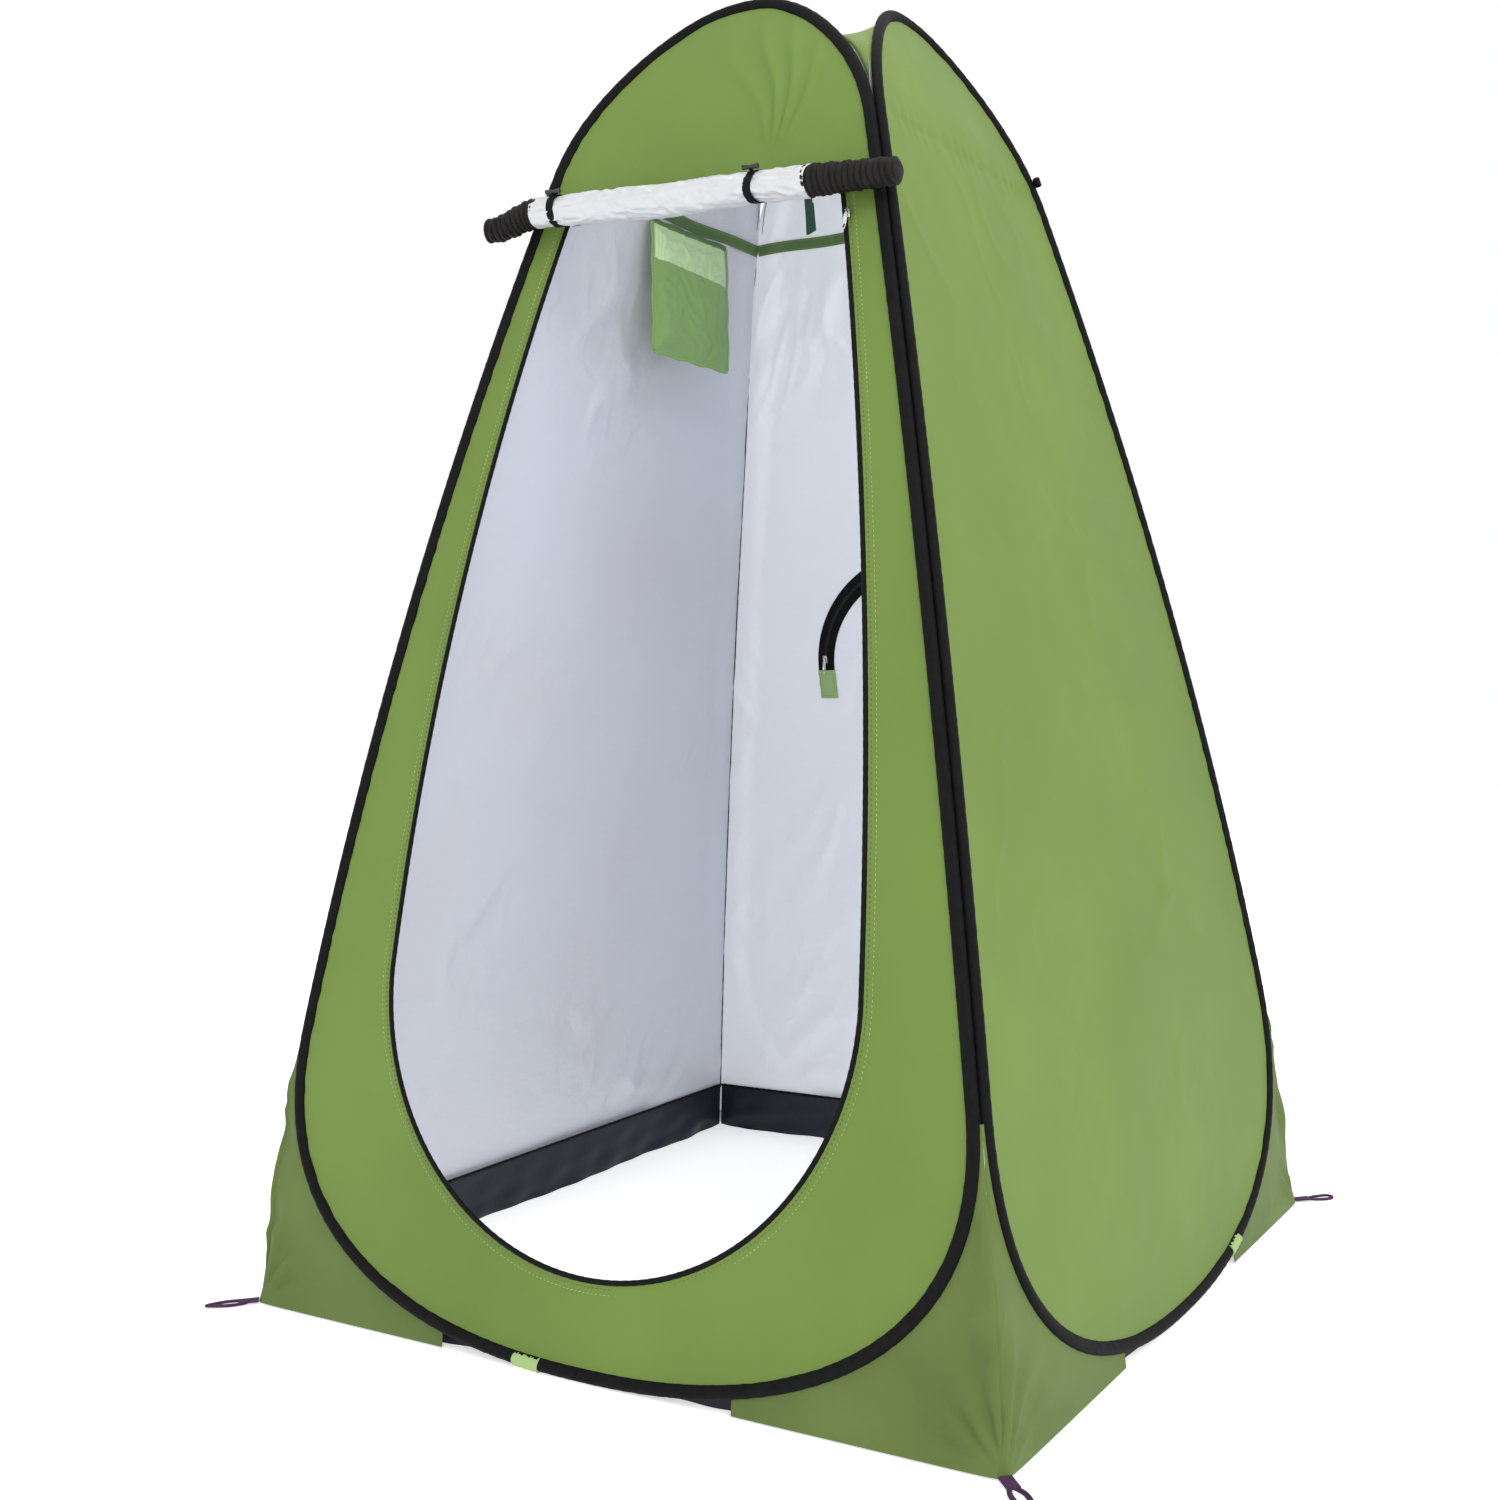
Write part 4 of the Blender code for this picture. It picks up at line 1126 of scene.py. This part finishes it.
def window_zip():
    """The arched zip of the back window: its tape, its teeth and the end tab."""
    angle = np.linspace(0, math.pi, 181)
    half = 0.017
    across = np.linspace(-half, half, 9)[:, None]
    u = (WINDOW_HALF + across) * np.cos(angle)
    z = WINDOW_Z + (WINDOW_RISE + across) * np.sin(angle)
    lift = -0.0040 - 0.0010 * np.cos(across / half * math.pi / 2) * np.ones((1, 181))
    tape = cloth(
        "window_zip_tape_cloth", on_wall("back", u, z, lift)[:, ::-1], [BLACK] * 2, "zip_black", "hung",
        thick=0.0010, rests_on=["back_panel"],
        cut=(0.035, math.pi * math.hypot(WINDOW_HALF + half, WINDOW_RISE + half) / math.sqrt(2)),
    )
    stand_for(tape, "window_zip_tape", "back")
    teeth = []
    for i in range(150):
        turn_at = math.pi * (i + 8) / 160
        tooth_u, tooth_z = WINDOW_HALF * math.cos(turn_at), WINDOW_Z + WINDOW_RISE * math.sin(turn_at)
        place = Vector(on_wall("back", tooth_u, tooth_z, -0.0062))
        along, out, up = wall_frame("back", tooth_z)
        radial = (along * math.cos(turn_at) + up * math.sin(turn_at)).normalized()
        turn = Matrix((radial, out, radial.cross(out))).transposed().to_4x4()
        teeth.append(rounded_block((0.0050, 0.0012, 0.0020), place, turn, 0.0003))
    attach(joined("window_zip_teeth", teeth, TEETH), "back")


def window_tab():
    """The tab of light cloth at the window zip's end, stitched all round."""
    low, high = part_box("window_end_tab")
    z = level(np.linspace(low.z - 0.002, high.z + 0.004, 15), 15)
    u = np.repeat(np.linspace(WINDOW_HALF - 0.018, WINDOW_HALF + 0.018, 15)[None, :], 15, axis=0)
    lift = -0.0052 - 0.0010 * np.cos((u - WINDOW_HALF) * 160) - 0.0008 * np.sin(z * 300)
    points = on_wall("back", u, z, lift)
    tab = cloth("window_tab_cloth", points, [LIGHT_GREEN] * 2, "light_green", "hung", thick=0.0012)
    stand_for(tab, "window_end_tab", "back")
    sides, bottom, top = 0.014, low.z + 0.003, high.z - 0.002
    round_u = WINDOW_HALF + sides * np.array([-1, 1, 1, -1, -1])
    path = on_wall("back", round_u, [bottom, bottom, top, top, bottom], -0.0078)
    row = stitches("window_tab_stitches", path, everywhere([0, 0, 0], path), THREAD_DARK)
    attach(row, "back")


# ---- Inside ----


def on_pocket(piece):
    """A piece of the pocket swings with it, and has a mesh of its own."""
    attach(piece, "pocket")
    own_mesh(piece)


POCKET_HEM = 0.70  # how far up the pocket its hem is


def pocket():
    """The hanging pocket: mesh above a slanted hem, smooth cloth below, bound and stitched all round."""
    low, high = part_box("storage_pocket")
    count = 60
    shares = np.linspace(0, 1, count)
    s, v = np.meshgrid(shares, shares)
    y, z = low.y + (high.y - low.y) * s, low.z + (high.z - low.z) * v
    x0 = (low.x + high.x) / 2
    inset = np.minimum(np.minimum(s, 1 - s), np.minimum(v, 1 - v))

    def slack(y, z):
        p = Vector((y * 19, z * 15, 3.3))
        bend = noise.noise(p)
        return 0.0024 * bend + 0.0030 * max(0.0, 0.25 - abs(noise.noise(p * 1.8 + Vector((bend, 0, 9))))) * 4

    bulge = 0.0075 * smooth_step(inset / 0.16) * (1 - 0.5 * v)
    points = np.stack([x0 + 0.0020 + bulge + field(slack, y, z) * smooth_step(inset / 0.10), y, z], axis=-1)
    # The hem between cloth and mesh slants down towards the back.
    points[..., 2] -= 0.04 * s * (high.z - low.z) * np.exp(-((v - POCKET_HEM) ** 2) / 0.02)
    split = int(count * POCKET_HEM)
    lower, upper = slice(0, split + 1), slice(split, None)
    back = np.stack([0 * y + low.x, y, z], axis=-1)[:, ::-1]
    cloths = (
        ("pocket_lower_cloth", points[lower], POCKET_GREEN, "pocket_green", 0.0010, ["left_seam_tape"]),
        ("pocket_upper_mesh", points[upper], MESH_GREEN, "light_green", 0.0010, ["left_seam_tape"]),
        ("pocket_back_cloth", back, POCKET_GREEN, "pocket_green", 0.0008, []),
    )
    for name, grid, material, slot, thick, rests_on in cloths:
        piece = cloth(name, grid, [material] * 2, slot, "hung", thick=thick, rests_on=rests_on)
        if name == "pocket_lower_cloth":
            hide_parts("storage_pocket")
        on_pocket(piece)
    edge_x = x0 + 0.0015
    runs = {
        "left_edge": ((low.y, low.z), (low.y, high.z), (0, 1, 0)),
        "right_edge": ((high.y, low.z), (high.y, high.z), (0, 1, 0)),
        "bottom_edge": ((low.y, low.z), (high.y, low.z), (0, 0, 1)),
        "top_edge": ((low.y, high.z), (high.y, high.z), (0, 0, 1)),
    }
    for name, (start, end, sway) in runs.items():
        start, end = np.array([edge_x, *start]), np.array([edge_x, *end])
        wobble = 0.0012 * np.sin(shares[:, None] * 21 + len(name)) * np.array(sway)
        pocket_binding(name, start + (end - start) * shares[:, None] + wobble)
    hem_x = x0 + 0.0028 + 0.0075 * smooth_step(np.minimum(shares, 1 - shares) / 0.16) * 0.62
    hem_z = (POCKET_HEM - 0.04 * shares) * (high.z - low.z) + low.z
    pocket_binding("hem", np.stack([hem_x, y[0], hem_z], axis=1), width=0.0075)


def pocket_binding(name, path, width=0.0110):
    out = everywhere([1, 0, 0], path)
    side = unit(np.cross(unit(np.gradient(path, axis=0)), out))
    material = SEAM_GREEN if name == "top_edge" else POCKET_GREEN
    on_pocket(ribbon(f"pocket_{name}_binding", path, side, out, width, 0.0026, material, "pocket_green"))
    row = path + side * width * 0.22
    on_pocket(stitches(f"pocket_{name}_stitches", row, out * 0.0014, THREAD_GREEN))


def on_strap(piece):
    """A piece of the strap swings with it, and has a mesh of its own."""
    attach(piece, "strap")
    out, anchor = tuple(wall_frame("front", 1.73)[1]), tuple(on_wall("front", 0.0, 1.73, -0.022))
    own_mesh(piece)


def hanging_strap():
    """The webbing strap under the roof, a little twisted, its end folded and stitched."""
    low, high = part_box("hanging_strap")
    turn = math.radians(-25)
    side_way = np.array([math.cos(turn), math.sin(turn), 0.0])
    out_way = np.array([math.sin(turn), -math.cos(turn), 0.0])
    share = np.linspace(0, 1, 90)[:, None]
    path = np.array([0.0, 0.0, high.z]) - share * np.array([0, 0, high.z - low.z])
    path = path + out_way * 0.006 * np.sin(share * 4.2)
    twist = 0.25 * np.sin(share * 2.5)
    side = side_way * np.cos(twist) + out_way * np.sin(twist)
    out = unit(np.cross(side, unit(np.gradient(path, axis=0))))
    size = 0.030, 0.0018, DARK_GREEN, "webbing_dark_green", 0.22
    strap = ribbon("strap_webbing", path, side, out, *size)
    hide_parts("hanging_strap")
    on_strap(strap)
    end = slice(-16, None)
    on_strap(ribbon("strap_folded_end", path[end] + out[end] * 0.0018, side[end], out[end], *size))
    for name, at in (("upper", -14), ("lower", -4)):
        row = path[at] + side[at] * np.linspace(-0.013, 0.013, 30)[:, None]
        lift = everywhere(out[at] * 0.0030, row)
        on_strap(stitches(f"strap_stitches_{name}", row, lift, THREAD_DARK))


# ---- Loops ----


LOOP_BODY = {"fl": "front", "fr": "front", "rr": "right", "rl": "left"}


def stake_loops():
    """Each corner's peg loop: webbing doubled round a slot, its two ends sewn under the gusset's tip."""
    half_long, half_wide = 0.0275, 0.0090
    angle = np.pi * (np.linspace(0, 1, 120) * 2 - 1) * 0.985
    reach = half_long * np.sign(np.cos(angle)) * np.abs(np.cos(angle)) ** 0.8
    spread = half_wide * np.sin(angle) * (1 - 0.42 * smooth_step(-reach / half_long))
    for corner, body in LOOP_BODY.items():
        low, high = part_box("stake_loop_" + corner)
        middle = np.array((low + high) / 2) * np.array([1, 1, 0])
        out_way = unit(middle)
        side_way = np.array([-out_way[1], out_way[0], 0.0])
        path = middle + out_way * reach[:, None] + side_way * spread[:, None]
        path[:, 2] = 0.0031 + 0.0009 * np.sin(angle * 2)
        up = everywhere([0, 0, 1], path)
        side = unit(np.cross(unit(np.gradient(path, axis=0)), up))
        name = f"stake_loop_{corner}_webbing"
        band = ribbon(name, path, side, up, 0.0062, 0.0038, PURPLE, "webbing_purple", 0.45)
        stand_for(band, "stake_loop_" + corner, body)
        share = np.linspace(-1, 1, 24)[:, None]
        path = middle + out_way * (0.014 * share - 0.030) + np.array([0, 0, 0.0045])
        side, up = everywhere(side_way, path), everywhere([0, 0, 1], path)
        tab = ribbon(f"stake_tab_{corner}", path, side, up, 0.017, 0.0034, PURPLE, "webbing_purple", 0.3)
        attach(tab, body)


def guy_loop():
    """The small loop for a guy line, folded out of webbing at the rear edge of the right wall."""
    low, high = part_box("guy_loop")
    middle = np.array((low + high) / 2)
    along, out, up = (np.array(v) for v in wall_frame("right", middle[2]))
    angle = np.linspace(-2.9, 2.9, 60)[:, None]
    path = middle + out * 0.00495 * np.cos(angle) + along * 0.0052 * np.sin(angle)
    side = everywhere(up, path)
    away = unit(np.cross(side, unit(np.gradient(path, axis=0))))
    band = ribbon("guy_loop_webbing", path, side, away, 0.0130, 0.0016, BLACK, "tie_black")
    stand_for(band, "guy_loop", "right")


# ---- Stage ----


def light_table(name, colour, roughness, glow):
    """A light table's top: pale, and lit a little from below."""
    made = Shader(name, roughness, specular=0.1)
    made.surface.inputs["Emission Color"].default_value = (1, 1, 1, 1)
    made.surface.inputs["Emission Strength"].default_value = glow
    made.colour(made.noise(0.8, detail=2), (tint(colour, 0.995), colour))
    return made.material


def area_light(name, place, target, size, power):
    data = bpy.data.lights.new(name, "AREA")
    data.shape = "RECTANGLE"
    data.size, data.size_y = size
    data.energy = power
    light = bpy.data.objects.new(name, data)
    light.location = place
    light.rotation_euler = (Vector(target) - Vector(place)).to_track_quat("-Z", "Y").to_euler()
    bpy.context.scene.collection.objects.link(light)


def stage():
    plane = bmesh.new()
    bmesh.ops.create_grid(plane, x_segments=1, y_segments=1, size=14)
    floor = bpy.data.objects.new("floor", baked(plane, "floor"))
    floor.data.materials.append(light_table("pale_floor", (0.80, 0.80, 0.80), 0.9, glow=0.55))
    bpy.context.scene.collection.objects.link(floor)
    world = bpy.data.worlds.new("studio")
    world.use_nodes = True
    background = world.node_tree.nodes["Background"].inputs
    background["Color"].default_value = (1.0, 1.0, 1.0, 1)
    background["Strength"].default_value = 1.0
    bpy.context.scene.world = world
    area_light("key", (4.2, -2.6, 4.0), (0.1, 0.0, 0.9), (3.0, 3.0), 150)
    area_light("fill", (-3.4, -4.2, 2.6), (0, 0, 0.9), (3.0, 3.0), 20)
    area_light("top", (0.0, 0.6, 5.0), (0, 0, 0.9), (4.0, 4.0), 40)
    area_light("rear", (-1.0, 5.0, 3.0), (0, 0, 0.9), (4.0, 3.0), 40)
    area_light("under_the_roof", (0.02, -0.17, 1.68), (-0.05, 0.35, 0.70), (0.26, 0.10), 0.8)


def camera():
    """Set where the tent's corners, hoops and pegs line up as they should."""
    data = bpy.data.cameras.new("camera")
    data.sensor_width = 36.0
    data.lens = 36.0 * 1700 / 1500
    data.shift_x, data.shift_y = -0.067, 0.002
    view = bpy.data.objects.new("camera", data)
    bpy.context.scene.collection.objects.link(view)
    yaw, pitch, roll = -0.5197, -0.0303, -0.0104
    ahead = Vector((math.sin(yaw) * math.cos(pitch), math.cos(yaw) * math.cos(pitch), math.sin(pitch)))
    turn = ahead.to_track_quat("-Z", "Y") @ Matrix.Rotation(roll, 3, "Z").to_quaternion()
    view.rotation_mode = "QUATERNION"
    view.rotation_quaternion = turn
    view.location = (1.3859, -2.3050, 0.8717)
    bpy.context.scene.camera = view


# ---- The scene ----

stage()
camera()
bpy.context.scene.view_settings.view_transform = "Standard"
for wall in WALLS:
    sleeves(wall)
    sleeve_patch(wall)
    skirt(wall)
    roof(wall)
    if wall != "front":
        plain_wall(wall)
        lining(wall)
front_wall()
for corner in CORNER_WALLS:
    gusset(corner)
for corner in ("rl", "rr"):
    corner_seam(corner)
for wall in ("left", "back"):
    seam_tape(wall)
door_binding()
door_roll()
left_end, right_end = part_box("roll_end_left"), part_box("roll_end_right")
roll_end("roll_end_left", -1, left_end[0].x - 0.022, left_end[1].x, 0.0048)
roll_end("roll_end_right", 1, right_end[0].x + 0.020, right_end[1].x + 0.006, 0.0040)
ties()
zip_slider("door", "front", 1)
zip_slider("window", "back", -1)
window_zip()
window_tab()
pocket()
hanging_strap()
stake_loops()
guy_loop()
for wall in WALLS:
    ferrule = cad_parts[wall + "_ferrule"]
    for slot in ferrule.material_slots:
        slot.material = STEEL
